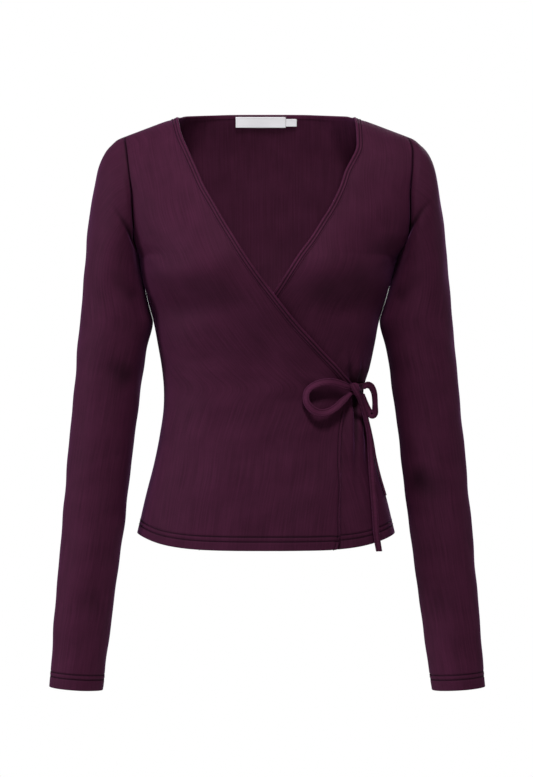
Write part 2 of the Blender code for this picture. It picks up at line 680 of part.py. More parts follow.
def build():
    edges = {name: edge_points(side, name) for side, name in ((-1, "over"), (1, "under"))}
    over = front_points(-1, "over", spaced(OVER_COLUMNS))
    under = front_points(1, "under", spaced(UNDER_COLUMNS, crowded=1.6, at=0.16, width=0.12))
    sheet("front_right", over, WALL, JERSEY)
    sheet("front_left", under, WALL, JERSEY, flip=True)
    sheet("back", back_points(), WALL, JERSEY, flip=True)
    for side, name in ((-1, "sleeve_right"), (1, "sleeve_left")):
        sheet(name, sleeve_points(side), WALL, JERSEY, closed=True, flip=side > 0)
    for side, name, node in ((-1, "over", "neck_band_right"), (1, "under", "neck_band_left")):
        edge, seam = (line[: ROWS.index(WAIST_ROW) + 1] for line in edges[name])
        grid = band_points(edge, seam, BAND_WIDTH, "front", lambda x: layer(x, name))
        sheet(node, grid, BAND_WALL, JERSEY, flip=side < 0)
    edge, seam = back_edge(BACK_COLUMNS[1] + 1)
    sheet("neck_band_back", band_points(edge, seam, BACK_BAND_WIDTH, "back", np.zeros_like), BAND_WALL, JERSEY)
    knot()
    sheet("tie_stretch", stretch_points(), TIE_WALL, JERSEY, offset=0)
    sheet("tie_loop_front", loop_points(LOOP_FRONT), TIE_WALL, JERSEY, offset=0)
    sheet("tie_loop_side", loop_points(LOOP_SIDE), TIE_WALL, JERSEY, offset=0)
    sheet("tie_tail_front", tail_points(TAIL_FRONT), TIE_WALL, JERSEY, offset=0)
    sheet("tie_tail_side", tail_points(TAIL_SIDE), TIE_WALL, JERSEY, offset=0)
    label("neck_label", LABEL, 8)
    label("size_tab", SIZE_TAB, 3)


for old in list(bpy.data.objects):
    bpy.data.objects.remove(old, do_unlink=True)
garment = bpy.data.collections.new("wrap_top")
bpy.context.scene.collection.children.link(garment)
build()
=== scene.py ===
import math

import bmesh
import bpy
import numpy as np
from mathutils import Matrix, Vector


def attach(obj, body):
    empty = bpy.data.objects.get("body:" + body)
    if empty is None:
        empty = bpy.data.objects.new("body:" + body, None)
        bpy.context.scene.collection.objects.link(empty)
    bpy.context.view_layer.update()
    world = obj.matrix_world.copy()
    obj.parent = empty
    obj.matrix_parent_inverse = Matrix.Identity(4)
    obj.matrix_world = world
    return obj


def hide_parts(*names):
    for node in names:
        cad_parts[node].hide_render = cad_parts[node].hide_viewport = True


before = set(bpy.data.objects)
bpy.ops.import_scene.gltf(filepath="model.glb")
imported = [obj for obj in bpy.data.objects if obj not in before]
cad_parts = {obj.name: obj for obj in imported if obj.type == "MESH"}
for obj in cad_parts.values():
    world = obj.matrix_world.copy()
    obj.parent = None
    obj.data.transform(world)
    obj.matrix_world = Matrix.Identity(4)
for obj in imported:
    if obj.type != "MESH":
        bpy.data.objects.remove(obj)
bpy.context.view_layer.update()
scene = bpy.context.scene
print("frame loaded:", len(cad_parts), "nodes")


# The form of the body. "down" is below the high shoulder points


def table(header, *rows):
    return dict(zip(header.split(), np.array(rows, float).T))


# A soft bump, 1 in its middle
def bell(off, wide):
    return np.exp(-((off / wide) ** 2))


# From start to end as t goes from 0 to 1, with a run given at each
def between(t, start, startRun, end, endRun):
    startPart = start * (1 + 2 * t) * (1 - t) ** 2 + startRun * t * (1 - t) ** 2
    return startPart + end * t**2 * (3 - 2 * t) - endRun * t**2 * (1 - t)


def placed(name, data):
    made = bpy.data.objects.new(name, data)
    scene.collection.objects.link(made)
    return made


bodyForm = {
    "neckHalf": 0.1120,
    "shoulderHalf": 0.1790,
    "shoulderDrop": 0.0254,
    "arch": 0.0750,  # the shoulder rounds to its full depth over this height
    "neckSteepness": 1.6,
    "neckSoftness": 0.002,
    "backNeckRise": 0.0086,
    "neckRound": 4,
    "neckSeamRound": 8,
    "armholeMiddle": 0.1000,
    "underarmDown": 0.1780,
    "armholeDepth": {"front": 0.054, "back": 0.060},
    "squareness": {"front": 2.25, "back": 2.5},
    "widestOpening": 0.93,
    "waistDown": 0.3445,
    "hemSideDown": 0.5278,
    "hemDrop": {"front": 0.0178, "back": 0.0060},  # lower in the middle
    "hemRound": 4.5,
    "seamGap": 0.00006,
}

cloth = {
    "wall": 0.0008,
    "hemWall": 0.0017,  # where a hem is turned up inside
    "hemWidth": 0.0190,
    "cuffWidth": 0.0205,
    "edgeWidth": 0.0052,  # the turned free edge of the over front
    "rimSteps": 3,
}

sides = table(
    "down     right   left",
    (0.1780, 0.1605, 0.1660),
    (0.2055, 0.1562, 0.1590),
    (0.2324, 0.1503, 0.1520),
    (0.2578, 0.1435, 0.1440),
    (0.2883, 0.1375, 0.1380),
    (0.3188, 0.1322, 0.1314),
    (0.3445, 0.1295, 0.1242),
    (0.3700, 0.1298, 0.1252),
    (0.4000, 0.1340, 0.1332),
    (0.4407, 0.1418, 0.1402),
    (0.4813, 0.1525, 0.1522),
    (0.5278, 0.1635, 0.1635),
)

armholes = table(
    "down     right   left",
    (0.0254, 0.1790, 0.1790),
    (0.0400, 0.1765, 0.1840),
    (0.0600, 0.1735, 0.1838),
    (0.1000, 0.1685, 0.1808),
    (0.1400, 0.1668, 0.1805),
    (0.1600, 0.1650, 0.1765),
    (0.1780, 0.1605, 0.1660),
)

depths = table(
    "down      front   back",
    (-0.0100, 0.0480, 0.0620),
    (0.0500, 0.0740, 0.0860),
    (0.1000, 0.0940, 0.0960),
    (0.1500, 0.1090, 0.1000),
    (0.1900, 0.1140, 0.0985),
    (0.2300, 0.1110, 0.0930),
    (0.2700, 0.1010, 0.0865),
    (0.3150, 0.0905, 0.0810),
    (0.3600, 0.0870, 0.0805),
    (0.4100, 0.0900, 0.0890),
    (0.4600, 0.0965, 0.1010),
    (0.5000, 0.1000, 0.1090),
    (0.5450, 0.1020, 0.1130),
)

# The free edge of each front: how far across it has come, negative while it is still on its own side
frontEdges = table(
    "down      over     under",
    (0.0000, -0.1120, -0.1120),
    (0.0270, -0.1054, -0.1134),
    (0.0465, -0.0970, -0.1120),
    (0.0600, -0.0911, -0.1054),
    (0.0725, -0.0856, -0.0990),
    (0.0925, -0.0768, -0.0922),
    (0.1165, -0.0632, -0.0813),
    (0.1385, -0.0508, -0.0679),
    (0.1600, -0.0377, -0.0546),
    (0.1800, -0.0252, -0.0397),
    (0.2030, -0.0094, -0.0249),
    (0.2264, 0.0086, -0.0093),
    (0.2606, 0.0357, 0.0200),
    (0.2931, 0.0649, 0.0490),
    (0.3257, 0.0946, 0.0790),
    (0.3445, 0.1080, 0.0960),
    (0.3620, 0.1000, 0.0950),
    (0.3850, 0.0948, 0.0925),
    (0.4500, 0.0911, 0.0890),
    (0.5450, 0.0897, 0.0875),
)

bust = {"across": 0.080, "down": 0.196, "height": 0.017, "wide": 0.050, "above": 0.062, "below": 0.040}

# Where the fronts cross, the over one rides on the under one: by how much, from where and over what width
ride = {"over": (0.0028, -0.120, 0.120), "under": (-0.0026, 0.120, -0.090)}

# Soft ridges of cloth that run from the bow. They are in the solids too
bowFoldRise = 0.3
bowFolds = table(
    "x1      down1   x2      down2   height  width",
    (0.1150, 0.3360, 0.1180, 0.2750, 0.0040, 0.0060),
    (0.1020, 0.3260, 0.1010, 0.2750, 0.0032, 0.0055),
    (0.1170, 0.3560, 0.1250, 0.4350, 0.0046, 0.0052),
    (0.1040, 0.3600, 0.1080, 0.4400, 0.0042, 0.0052),
    (0.0850, 0.3450, 0.0150, 0.3150, 0.0026, 0.0070),
    (0.0850, 0.3560, 0.0250, 0.3900, 0.0024, 0.0070),
)

# Creases of the cloth alone, in the same form: "bow" bends one sideways, a height below 0 makes a trough
frontCreases = table(
    "x1       down1   x2      down2   height   width   bow",
    (0.1112, 0.3200, 0.1122, 0.4850, -0.0080, 0.0028, 0.0008),
    (0.1190, 0.3230, 0.1286, 0.4850, -0.0066, 0.0028, 0.0015),
    (0.1052, 0.3350, 0.1054, 0.4800, 0.0028, 0.0036, 0.0000),
    (0.1150, 0.3350, 0.1200, 0.4800, 0.0008, 0.0032, 0.0000),
    (0.1104, 0.3620, 0.1020, 0.2820, -0.0044, 0.0025, 0.0012),
    (0.1160, 0.3620, 0.1186, 0.2860, -0.0040, 0.0025, -0.0010),
    (0.1128, 0.3600, 0.1112, 0.2860, 0.0018, 0.0032, 0.0000),
    (0.0900, 0.3280, 0.0780, 0.2700, 0.0009, 0.0050, 0.0060),
    (0.0700, 0.3560, -0.0300, 0.3480, -0.0008, 0.0060, 0.0060),
    (0.0600, 0.3900, 0.0250, 0.4400, 0.0007, 0.0090, -0.0050),
    (-0.0400, 0.3300, -0.1150, 0.3150, 0.0009, 0.0075, -0.0050),
    (-0.0300, 0.3620, -0.1200, 0.3650, 0.0008, 0.0080, 0.0060),
    (-0.0600, 0.3900, -0.1200, 0.4150, 0.0006, 0.0090, 0.0040),
    (-0.1560, 0.1780, -0.1150, 0.2150, 0.0012, 0.0070, 0.0050),
    (-0.1580, 0.1600, -0.1200, 0.1650, 0.0009, 0.0060, -0.0040),
    (0.1600, 0.1780, 0.1180, 0.2100, 0.0012, 0.0070, -0.0050),
    (0.1680, 0.1500, 0.1250, 0.1480, 0.0009, 0.0060, 0.0040),
    (-0.1400, 0.0450, -0.1000, 0.1250, 0.0006, 0.0100, 0.0060),
    (0.1450, 0.0450, 0.1020, 0.1200, 0.0006, 0.0100, -0.0060),
)
backCreases = table(
    "x1       down1   x2      down2   height   width   bow",
    (0.1180, 0.3380, 0.0300, 0.3250, 0.0010, 0.0070, 0.0060),
    (0.1160, 0.3520, 0.0250, 0.3600, -0.0009, 0.0065, -0.0050),
    (0.1140, 0.3640, 0.0400, 0.3900, 0.0009, 0.0075, 0.0050),
    (-0.1200, 0.3300, -0.0300, 0.3350, 0.0010, 0.0070, -0.0060),
    (-0.1180, 0.3500, -0.0350, 0.3680, -0.0008, 0.0070, 0.0050),
    (-0.0100, 0.3450, -0.0150, 0.4300, 0.0007, 0.0110, 0.0040),
    (0.1600, 0.1700, 0.1050, 0.2150, 0.0012, 0.0075, 0.0050),
    (0.1650, 0.1350, 0.1150, 0.1500, 0.0009, 0.0070, -0.0040),
    (-0.1550, 0.1700, -0.1020, 0.2180, 0.0012, 0.0075, -0.0050),
    (-0.1600, 0.1350, -0.1100, 0.1480, 0.0009, 0.0070, 0.0040),
    (0.0500, 0.0500, 0.0450, 0.1500, 0.0006, 0.0130, 0.0050),
    (-0.0550, 0.0500, -0.0480, 0.1450, 0.0006, 0.0130, -0.0050),
)
creaseRise = 0.25

# Broad soft swells and hollows of the front: where, how far each way they reach, and how high
frontSwells = table(
    "x        down    across  along   height",
    (-0.1020, 0.1980, 0.0420, 0.0260, 0.0050),
    (0.0960, 0.1950, 0.0420, 0.0260, 0.0050),
    (-0.1000, 0.2420, 0.0460, 0.0200, -0.0088),
    (0.0960, 0.2380, 0.0420, 0.0200, -0.0078),
    (-0.0300, 0.3050, 0.0600, 0.0350, -0.0016),
    (-0.0900, 0.3600, 0.0300, 0.0550, 0.0018),
    (0.0250, 0.4500, 0.0500, 0.0450, -0.0018),
    (0.0700, 0.4000, 0.0220, 0.0350, -0.0022),
    (-0.0500, 0.4650, 0.0350, 0.0500, 0.0014),
    (-0.1280, 0.4850, 0.0150, 0.0480, 0.0026),
)

# The high shoulder points lie flat, drawn down by the binding that ends there
neckPoint = {"drop": 0.0021, "across": 0.011, "down": 0.008}

# A slight unevenness all over: waves of the cloth, across and down
waves = table(
    "across  down    phase  height",
    (0.0710, 0.1130, 0.40, 0.00030),
    (-0.0930, 0.0810, 1.90, 0.00028),
    (0.0520, -0.2100, 3.10, 0.00022),
    (0.1700, 0.0470, 4.60, 0.00020),
)
waveFade = {"side": 0.012, "top": 0.02}  # they fade toward a panel's borders


def smooth(at, places, values):
    places, values = np.asarray(places, float), np.asarray(values, float)
    slopes = np.gradient(values, places)
    at = np.clip(at, places[0], places[-1])
    i = np.clip(np.searchsorted(places, at) - 1, 0, len(places) - 2)
    step = places[i + 1] - places[i]
    t = (at - places[i]) / step
    return between(t, values[i], slopes[i] * step, values[i + 1], slopes[i + 1] * step)


def ease(t):
    t = np.clip(t, 0, 1)
    return t * t * (3 - 2 * t)


def shoulderHeight(x):
    fall = bodyForm["shoulderDrop"] / (bodyForm["shoulderHalf"] - bodyForm["neckHalf"])
    inside = bodyForm["neckHalf"] - np.abs(x)
    rise = bodyForm["neckSoftness"] * np.logaddexp(0, inside / bodyForm["neckSoftness"])
    return fall * inside + (bodyForm["neckSteepness"] - fall) * rise


def sideHalf(x, down):
    at = []
    for side in ("right", "left"):
        above = smooth(down, armholes["down"], armholes[side])
        below = smooth(down, sides["down"], sides[side])
        at.append(np.where(down < bodyForm["underarmDown"], above, below))
    return np.where(x < 0, at[0], at[1])


def fullDepth(x, down, face):
    depth = smooth(down, depths["down"], depths[face])
    if face == "front":
        spread = np.where(down < bust["down"], bust["above"], bust["below"])
        across = bell(np.abs(x) - bust["across"], bust["wide"])
        depth = depth + bust["height"] * across * bell(down - bust["down"], spread)
    return depth


def sectionHalf(x, down, face):
    n = bodyForm["squareness"][face]
    seam = sideHalf(x, down)
    middle, underarm = bodyForm["armholeMiddle"], bodyForm["underarmDown"]
    belowMiddle = np.clip((down - middle) / (underarm - middle), 0, 1)
    opening = bodyForm["armholeDepth"][face] * np.sqrt(1 - belowMiddle**2)
    share = np.clip(opening / fullDepth(seam, down, face), 0, bodyForm["widestOpening"])
    return seam / (1 - share**n) ** (1 / n)


def bodyDepth(x, z, face):
    n = bodyForm["squareness"][face]
    reach = np.clip(np.abs(x) / sectionHalf(x, -z, face), 0, 1)
    under = np.clip((shoulderHeight(x) - z) / bodyForm["arch"], 0, 1)
    return fullDepth(x, -z, face) * (1 - reach**n) ** (1 / n) * np.sqrt(1 - (1 - under) ** 2)


def outward(x, z, face):
    n = bodyForm["squareness"][face]
    half = sectionHalf(x, -z, face)
    reach = np.clip(np.abs(x) / half, 0, 1)
    alongX = np.sign(x) * reach ** (n - 1) / half
    alongY = (1 - reach**n) ** ((n - 1) / n) / fullDepth(x, -z, face) * (-1 if face == "front" else 1)
    size = np.hypot(alongX, alongY)
    return alongX / size, alongY / size


def creaseHeight(x, down, creases, rise):
    height = np.zeros(np.broadcast(x, down).shape)
    bows = creases.get("bow", np.zeros(len(creases["x1"])))
    columns = [creases[c] for c in ("x1", "down1", "x2", "down2", "height", "width")]
    for x1, d1, x2, d2, top, wide, bow in zip(*columns, bows):
        runX, runDown = x2 - x1, d2 - d1
        length = math.hypot(runX, runDown)
        t = ((x - x1) * runX + (down - d1) * runDown) / length**2
        off = ((x - x1) * runDown - (down - d1) * runX) / length
        off = off - bow * 4 * np.clip(t, 0, 1) * (1 - np.clip(t, 0, 1))
        height += top * bell(off, wide) * ease(t / rise) * (1 - ease(t))
    return height


def swellHeight(x, down, swells):
    height = np.zeros(np.broadcast(x, down).shape)
    for x0, d0, across, along, top in zip(*(swells[c] for c in ("x", "down", "across", "along", "height"))):
        height += top * bell(x - x0, across) * bell(down - d0, along)
    return height


def waveHeight(x, down):
    height = np.zeros(np.broadcast(x, down).shape)
    for across, along, phase, top in zip(*(waves[c] for c in ("across", "down", "phase", "height"))):
        height += top * np.sin(2 * np.pi * (x / across + down / along) + phase)
    return height


def onBody(x, z, face, out=0.0):
    x, z = np.broadcast_arrays(np.asarray(x, float), np.asarray(z, float))
    nx, ny = outward(x, z, face)
    if face == "front":
        out = out + creaseHeight(x, -z, bowFolds, bowFoldRise) + swellHeight(x, -z, frontSwells)
    out = out + creaseHeight(x, -z, frontCreases if face == "front" else backCreases, creaseRise)
    fromSide = (sectionHalf(x, -z, face) - np.abs(x)) / waveFade["side"]
    fromTop = (shoulderHeight(x) - z) / waveFade["top"]
    out = out + waveHeight(x, -z) * ease(fromSide) * ease(fromTop)
    y = bodyDepth(x, z, face) + bodyForm["seamGap"] / 2
    y = -y if face == "front" else y
    nearPoint = bell(np.abs(x) - bodyForm["neckHalf"], neckPoint["across"])
    nearPoint = nearPoint * bell(shoulderHeight(x) - z, neckPoint["down"])
    return np.stack([x + nx * out, y + ny * out, z - neckPoint["drop"] * nearPoint], axis=-1)


# Rows and columns of the panels

grids = {
    "armholeRows": 10,
    "waistRow": 18,
    "lastRow": 26,
    "topRows": 4,
    "edgeCrowding": 1.7,
    "rowSteps": 8,  # finer rows for each of these
    "hemRows": 20,  # and rows inside the hem
    "edgeColumns": 7,  # columns inside the turned free edge
    "overColumns": 150,
    "underColumns": 156,
    "backColumns": (34, 76, 34),
    "backMiddle": 0.095,
    "sleeveAngles": 120,
    "capRings": 6,
    "sleeveStep": 0.0027,
    "ridgeFade": 0.030,
    "edgeShare": 0.975,  # where the edge's columns begin
    "crowdingSteps": 400,
    "neckColumns": 121,  # of the back's binding
}
# A point's place across and its height depend on each other, so a row settles in steps
settling = {"frontSteps": 16, "frontShare": 0.4, "backSteps": 6}
bindings = {
    "width": {"front": 0.0085, "back": 0.0072},  # of the strip's outer side
    "inside": {"front": 0.0074, "back": 0.0048},  # and of its inner side
    "wall": 0.0007,
    "clear": 0.00005,  # from the panel that it holds
    "panelInset": 0.0013,  # the panel ends this far inside the fold
    "stitchLines": (0.0034, 0.0068),  # from the fold
    "ridges": ((0.0000, 0.0034, 0.00080), (0.0034, 0.0068, 0.00036), (0.0068, 0.0090, 0.00010)),
    "ridgeRound": 0.8,
    "flatEnd": 0.016,  # it is flatter at the shoulder seams
    "flatShare": 0.15,
    "crossSteps": 17,
    "innerSteps": 13,
    "foldSteps": 7,
    "baseRows": 18,
}


def panelRows():
    last, hemStart = grids["lastRow"], grids["lastRow"] - 1
    coarse = np.linspace(0, hemStart, hemStart * grids["rowSteps"] + 1)
    coarse = np.delete(coarse, 1)  # too close to the first row
    return np.concatenate([coarse, np.linspace(hemStart, last, grids["hemRows"] + 1)[1:]])


rows = panelRows()


def armholeDown(row):
    turn = math.pi * row / grids["armholeRows"]
    middle = bodyForm["armholeMiddle"]
    height = middle - bodyForm["shoulderDrop"] if turn < math.pi / 2 else bodyForm["underarmDown"] - middle
    return middle - height * math.cos(turn)


# How far a row below the waist hangs lower than at the side seams
def hemFall(row, turn, face):
    waistRow = grids["waistRow"]
    share = max(row - waistRow, 0) / (grids["lastRow"] - waistRow)
    return share * bodyForm["hemDrop"][face] * (1 - np.abs(np.sin(turn)) ** bodyForm["hemRound"])


def rowDowns(row):
    underarm, waist = bodyForm["underarmDown"], bodyForm["waistDown"]
    if row <= grids["armholeRows"]:
        return armholeDown(row), underarm * (row / grids["armholeRows"]) ** grids["edgeCrowding"]
    if row <= grids["waistRow"]:
        t = (row - grids["armholeRows"]) / (grids["waistRow"] - grids["armholeRows"])
        down = underarm + (waist - underarm) * t
        return down, down
    t = (row - grids["waistRow"]) / (grids["lastRow"] - grids["waistRow"])
    down = waist + (bodyForm["hemSideDown"] - waist) * t
    return down, down


def hungHeight(x, outer, inner, top, row):
    share = (x - outer[0]) / (inner[0] - outer[0])
    level = outer[1] + (inner[1] - outer[1]) * share
    chord = top(outer[0]) + (top(inner[0]) - top(outer[0])) * share
    return level + (1 - ease(row / grids["armholeRows"])) * (top(x) - chord)


# The free edge of a front and the line of its binding's outer border, row by row, as x and z
def edgeLines(side, name):
    toward = -side
    downs = np.array([rowDowns(row)[1] for row in rows])
    x = toward * smooth(downs, frontEdges["down"], frontEdges[name])
    top = float(shoulderHeight(bodyForm["neckHalf"])) * (1 - ease(rows / grids["topRows"]))
    edge = np.stack([x, top - downs], axis=1)
    run = np.gradient(edge, axis=0)
    run /= np.hypot(run[:, 0], run[:, 1])[:, None]
    width = bindings["width"]["front"]
    seam = edge + width * np.stack([run[:, 1], -run[:, 0]], axis=1) * toward
    seam[0, 0] = edge[0, 0] + side * width
    seam[:, 1] = np.minimum(seam[:, 1], shoulderHeight(seam[:, 0]) - downs)
    return edge, seam


def rideHeight(x, name):
    lift, start, width = ride[name]
    return lift * ease((x - start) / width)


def crowdedPlaces(count, crowded=0.0, at=0.2, width=0.1):
    fine = np.linspace(0, 1, grids["crowdingSteps"])
    pull = np.cumsum(1 + crowded * bell(fine - at, width))
    pull = (pull - pull[0]) / (pull[-1] - pull[0])
    return np.interp(np.linspace(0, 1, count), pull, fine)


def sectionTurn(x, down, face):
    return math.asin(np.clip(x / float(sectionHalf(x, down, face)), -1, 1))


def frontGrid(side, name, columns):
    edge, seam = edgeLines(side, name)
    inset = bindings["panelInset"] / bindings["width"]["front"]
    grid = []
    for row, onEdge, onSeam in zip(rows, edge, seam):
        outerDown = rowDowns(row)[0]
        inner = onEdge + (onSeam - onEdge) * inset * (1 - np.clip(row - grids["waistRow"], 0, 1))
        outer = (side * float(sideHalf(side, outerDown)), -outerDown)
        turnOut = sectionTurn(outer[0], outerDown, "front")
        turnIn = sectionTurn(inner[0], -inner[1], "front")
        turn = turnOut + (turnIn - turnOut) * columns
        even = x = outer[0] + (inner[0] - outer[0]) * columns
        for _ in range(settling["frontSteps"]):
            z = hungHeight(x, outer, inner, shoulderHeight, row) - hemFall(row, turn, "front")
            curved = even + (sectionHalf(x, -z, "front") * np.sin(turn) - even) * ease(row / grids["topRows"])
            x = x + (curved - x) * settling["frontShare"]
        x[0], x[-1] = outer[0], inner[0]
        grid.append(onBody(x, z, "front", rideHeight(x, name)))
    return np.array(grid)


def backEdgeLines(count):
    s = np.linspace(-1, 1, count)
    neckHalf, rise = bodyForm["neckHalf"], bodyForm["backNeckRise"]
    high = float(shoulderHeight(neckHalf))
    z = rise - (rise - high) * np.abs(s) ** bodyForm["neckRound"]
    seamX = s * (neckHalf + bindings["width"]["front"])
    end = float(shoulderHeight(seamX[-1]))
    outer = np.abs(s) ** bodyForm["neckSeamRound"]
    seamZ = (z - bindings["width"]["back"]) * (1 - outer) + end * outer
    return np.stack([s * neckHalf, z], 1), np.stack([seamX, seamZ], 1)


def backGrid():
    shoulder, neck, _ = grids["backColumns"]
    edge, seam = backEdgeLines(neck + 1)
    seam = edge + (seam - edge) * bindings["panelInset"] / bindings["width"]["back"]
    seam[[0, -1], 1] = shoulderHeight(seam[[0, -1], 0])
    plain = np.linspace(0, 1, shoulder + 1)

    def top(x):
        return np.where(np.abs(x) < seam[-1, 0], np.interp(x, seam[:, 0], seam[:, 1]), shoulderHeight(x))

    def across(right, left, corner):
        middle = corner * np.linspace(-1, 1, neck + 1)
        return np.concatenate(
            [right + (-corner - right) * plain[:-1], middle, left + (corner - left) * plain[::-1][1:]]
        )

    grid = []
    for row in rows:
        outerDown, middleDown = rowDowns(row)
        middleZ = float(top(0)) * (1 - ease(row / grids["topRows"])) - middleDown
        ends = [s * float(sideHalf(s, outerDown)) for s in (-1, 1)]
        turns = [sectionTurn(end, outerDown, "back") for end in ends]
        corner = seam[-1, 0] + (grids["backMiddle"] - seam[-1, 0]) * row / grids["lastRow"]
        cornerDown = bodyForm["shoulderDrop"] + middleDown
        turn = across(*turns, sectionTurn(corner, cornerDown, "back"))
        even = x = across(*ends, corner)
        for _ in range(settling["backSteps"]):
            outer = (np.where(x < 0, *ends), -outerDown)
            z = hungHeight(x, outer, (0, middleZ), top, row) - hemFall(row, turn, "back")
            x = even + (sectionHalf(x, -z, "back") * np.sin(turn) - even) * ease(row / grids["topRows"])
        x[0], x[-1] = ends
        grid.append(onBody(x, z, "back"))
    return np.array(grid)


# Making cloth from a grid of points


def unit(vectors):
    size = np.linalg.norm(vectors, axis=-1, keepdims=True)
    return vectors / np.maximum(size, 1e-12)


def gridNormals(grid, closed, flip):
    if closed:
        wide = np.concatenate([grid[:, -1:], grid, grid[:, :1]], axis=1)
        across = (wide[:, 2:] - wide[:, :-2]) / 2
    else:
        across = np.gradient(grid, axis=1)
    along = np.gradient(grid, axis=0)
    normals = unit(np.cross(along, across))
    return -normals if flip else normals


def moved(grid, height, closed=False, flip=False):
    return grid + gridNormals(grid, closed, flip) * np.asarray(height)[..., None]


def runLengths(grid, axis):
    steps = np.linalg.norm(np.diff(grid, axis=axis), axis=-1)
    pad = [(0, 0), (0, 0)]
    pad[axis] = (1, 0)
    return np.pad(np.cumsum(steps, axis=axis), pad)


# The painted shade goes into a point attribute that the jersey materials read
def addMesh(name, points, faces, uvs, paintedShade):
    mesh = bpy.data.meshes.new(name)
    mesh.from_pydata(points.tolist(), [], faces.tolist())
    mesh.attributes.new("paintedShade", "FLOAT", "POINT").data.foreach_set("value", paintedShade.astype(np.float32))
    mesh.uv_layers.new(name="cloth").data.foreach_set("uv", uvs.astype(np.float32).ravel())
    mesh.shade_smooth()
    return placed(name, mesh)


def borderIndex(rowCount, columnCount, closed):
    index = np.arange(rowCount * columnCount).reshape(rowCount, columnCount)
    if closed:
        return [index[0, ::-1], index[-1]]
    return [np.concatenate([index[0, :-1][::-1], index[:-1, 0], index[-1, :-1], index[1:, -1][::-1]])]


# A shell of cloth: an outer and an inner surface with rounded rims. Its outer surface is the grid, and
# its last argument is painted shade, from 0 to 1: how far the colour is darkened for shade in seams, channels
# and creases.
def clothShell(name, grid, wall, closed=False, flip=False, paintedShade=0.0):
    rowCount, columnCount = grid.shape[:2]
    paintedShade = np.clip(np.broadcast_to(paintedShade, (rowCount, columnCount)), 0, 1).reshape(-1)
    paintedShades = [paintedShade, paintedShade]
    normals = gridNormals(grid, closed, flip)
    wall = np.broadcast_to(np.asarray(wall, float), (rowCount, columnCount))
    across = runLengths(grid, 1)
    u = across - across[:, columnCount // 2 : columnCount // 2 + 1]
    v = np.broadcast_to(-runLengths(grid, 0).mean(axis=1)[:, None], u.shape)
    if closed:
        lap = np.linalg.norm(grid[:, 0] - grid[:, -1], axis=-1)
        u = np.concatenate([u, u[:, -1:] + lap[:, None]], axis=1)
        v = np.concatenate([v, v[:, -1:]], axis=1)
    uvGrid = np.stack([u, v], axis=-1)

    # The rims stay inside the grid's border, so that two pieces meet there edge to edge
    e = np.zeros_like(grid)
    e[0] += unit(grid[0] - grid[1])
    e[-1] += unit(grid[-1] - grid[-2])
    if not closed:
        e[:, 0] += unit(grid[:, 0] - grid[:, 1])
        e[:, -1] += unit(grid[:, -1] - grid[:, -2])
    e = e - normals * np.sum(e * normals, axis=-1, keepdims=True)
    e = unit(e) * (np.linalg.norm(e, axis=-1, keepdims=True) > 1e-9)
    outer = grid - e * wall[..., None] / 2
    inner = outer - normals * wall[..., None]

    size = rowCount * columnCount
    points = [outer.reshape(-1, 3), inner.reshape(-1, 3)]
    index = np.arange(size).reshape(rowCount, columnCount)
    nextColumn = np.roll(np.arange(columnCount), -1) if closed else np.arange(1, columnCount)
    firstColumn = np.arange(columnCount if closed else columnCount - 1)
    a, b = index[:-1][:, firstColumn], index[1:][:, firstColumn]
    c, d = index[1:][:, nextColumn], index[:-1][:, nextColumn]
    quads = np.stack([a, b, c, d], axis=-1).reshape(-1, 4)
    last = np.arange(1, columnCount + 1) if closed else np.arange(1, columnCount)
    uvA, uvB = uvGrid[:-1][:, firstColumn], uvGrid[1:][:, firstColumn]
    uvC, uvD = uvGrid[1:][:, last], uvGrid[:-1][:, last]
    quadUvs = np.stack([uvA, uvB, uvC, uvD], axis=-2).reshape(-1, 4, 2)
    outerTurn = slice(None, None, -1 if flip else 1)
    innerTurn = slice(None, None, 1 if flip else -1)
    faces = [quads[:, outerTurn], quads[:, innerTurn] + size]
    uvs = [quadUvs[:, outerTurn], quadUvs[:, innerTurn]]

    steps = cloth["rimSteps"]
    flatE, flatN, flatWall = e.reshape(-1, 3), normals.reshape(-1, 3), wall.reshape(-1, 1)
    flatUv = uvGrid[:, :columnCount].reshape(-1, 2)
    for ring in borderIndex(rowCount, columnCount, closed):
        middle = points[0][ring] - flatN[ring] * flatWall[ring] / 2
        loops = [ring]
        for k in range(1, steps + 1):
            turn = math.pi * k / (steps + 1)
            reach = flatN[ring] * math.cos(turn) + flatE[ring] * math.sin(turn)
            points.append(middle + reach * flatWall[ring] / 2)
            paintedShades.append(paintedShade[ring])
            loops.append(sum(len(p) for p in points[:-1]) + np.arange(len(ring)))
        loops.append(ring + size)
        ringUv = flatUv[ring]
        nextUv = np.roll(ringUv, -1, axis=0)
        if closed:
            nextUv[-1] = ringUv[-1] + (ringUv[-1] - ringUv[-2])
        for near, far in zip(loops[:-1], loops[1:]):
            faces.append(np.stack([near, far, np.roll(far, -1), np.roll(near, -1)], axis=-1)[:, outerTurn])
            uvs.append(np.stack([ringUv, ringUv, nextUv, nextUv], axis=1)[:, outerTurn])
    return addMesh(name, *(np.concatenate(each) for each in (points, faces, uvs, paintedShades)))


# The line on a grid that runs at a distance from its last row, or from its last column
def lineFromEdge(grid, away, byColumn=False, closed=False, lift=0.0, flip=False):
    lifted = moved(grid, np.full(grid.shape[:2], lift), closed, flip)
    if byColumn:
        lifted = lifted.transpose(1, 0, 2)
    back = lifted[::-1]
    lengths = runLengths(back, 0)
    line = []
    for run, places in zip(lengths.T, back.transpose(1, 0, 2)):
        line.append([np.interp(away, run, places[:, axis]) for axis in range(3)])
    return np.array(line)


print("forms ready")


# Finishes. Each feeds a Principled shader in its own material


def newGroup(name, inputs, outputs):
    group = bpy.data.node_groups.new(name, "ShaderNodeTree")
    for label, kind, value in inputs:
        socket = group.interface.new_socket(name=label, in_out="INPUT", socket_type=kind)
        socket.default_value = value
    for label, kind in outputs:
        group.interface.new_socket(name=label, in_out="OUTPUT", socket_type=kind)
    return group, group.nodes.new("NodeGroupInput"), group.nodes.new("NodeGroupOutput")


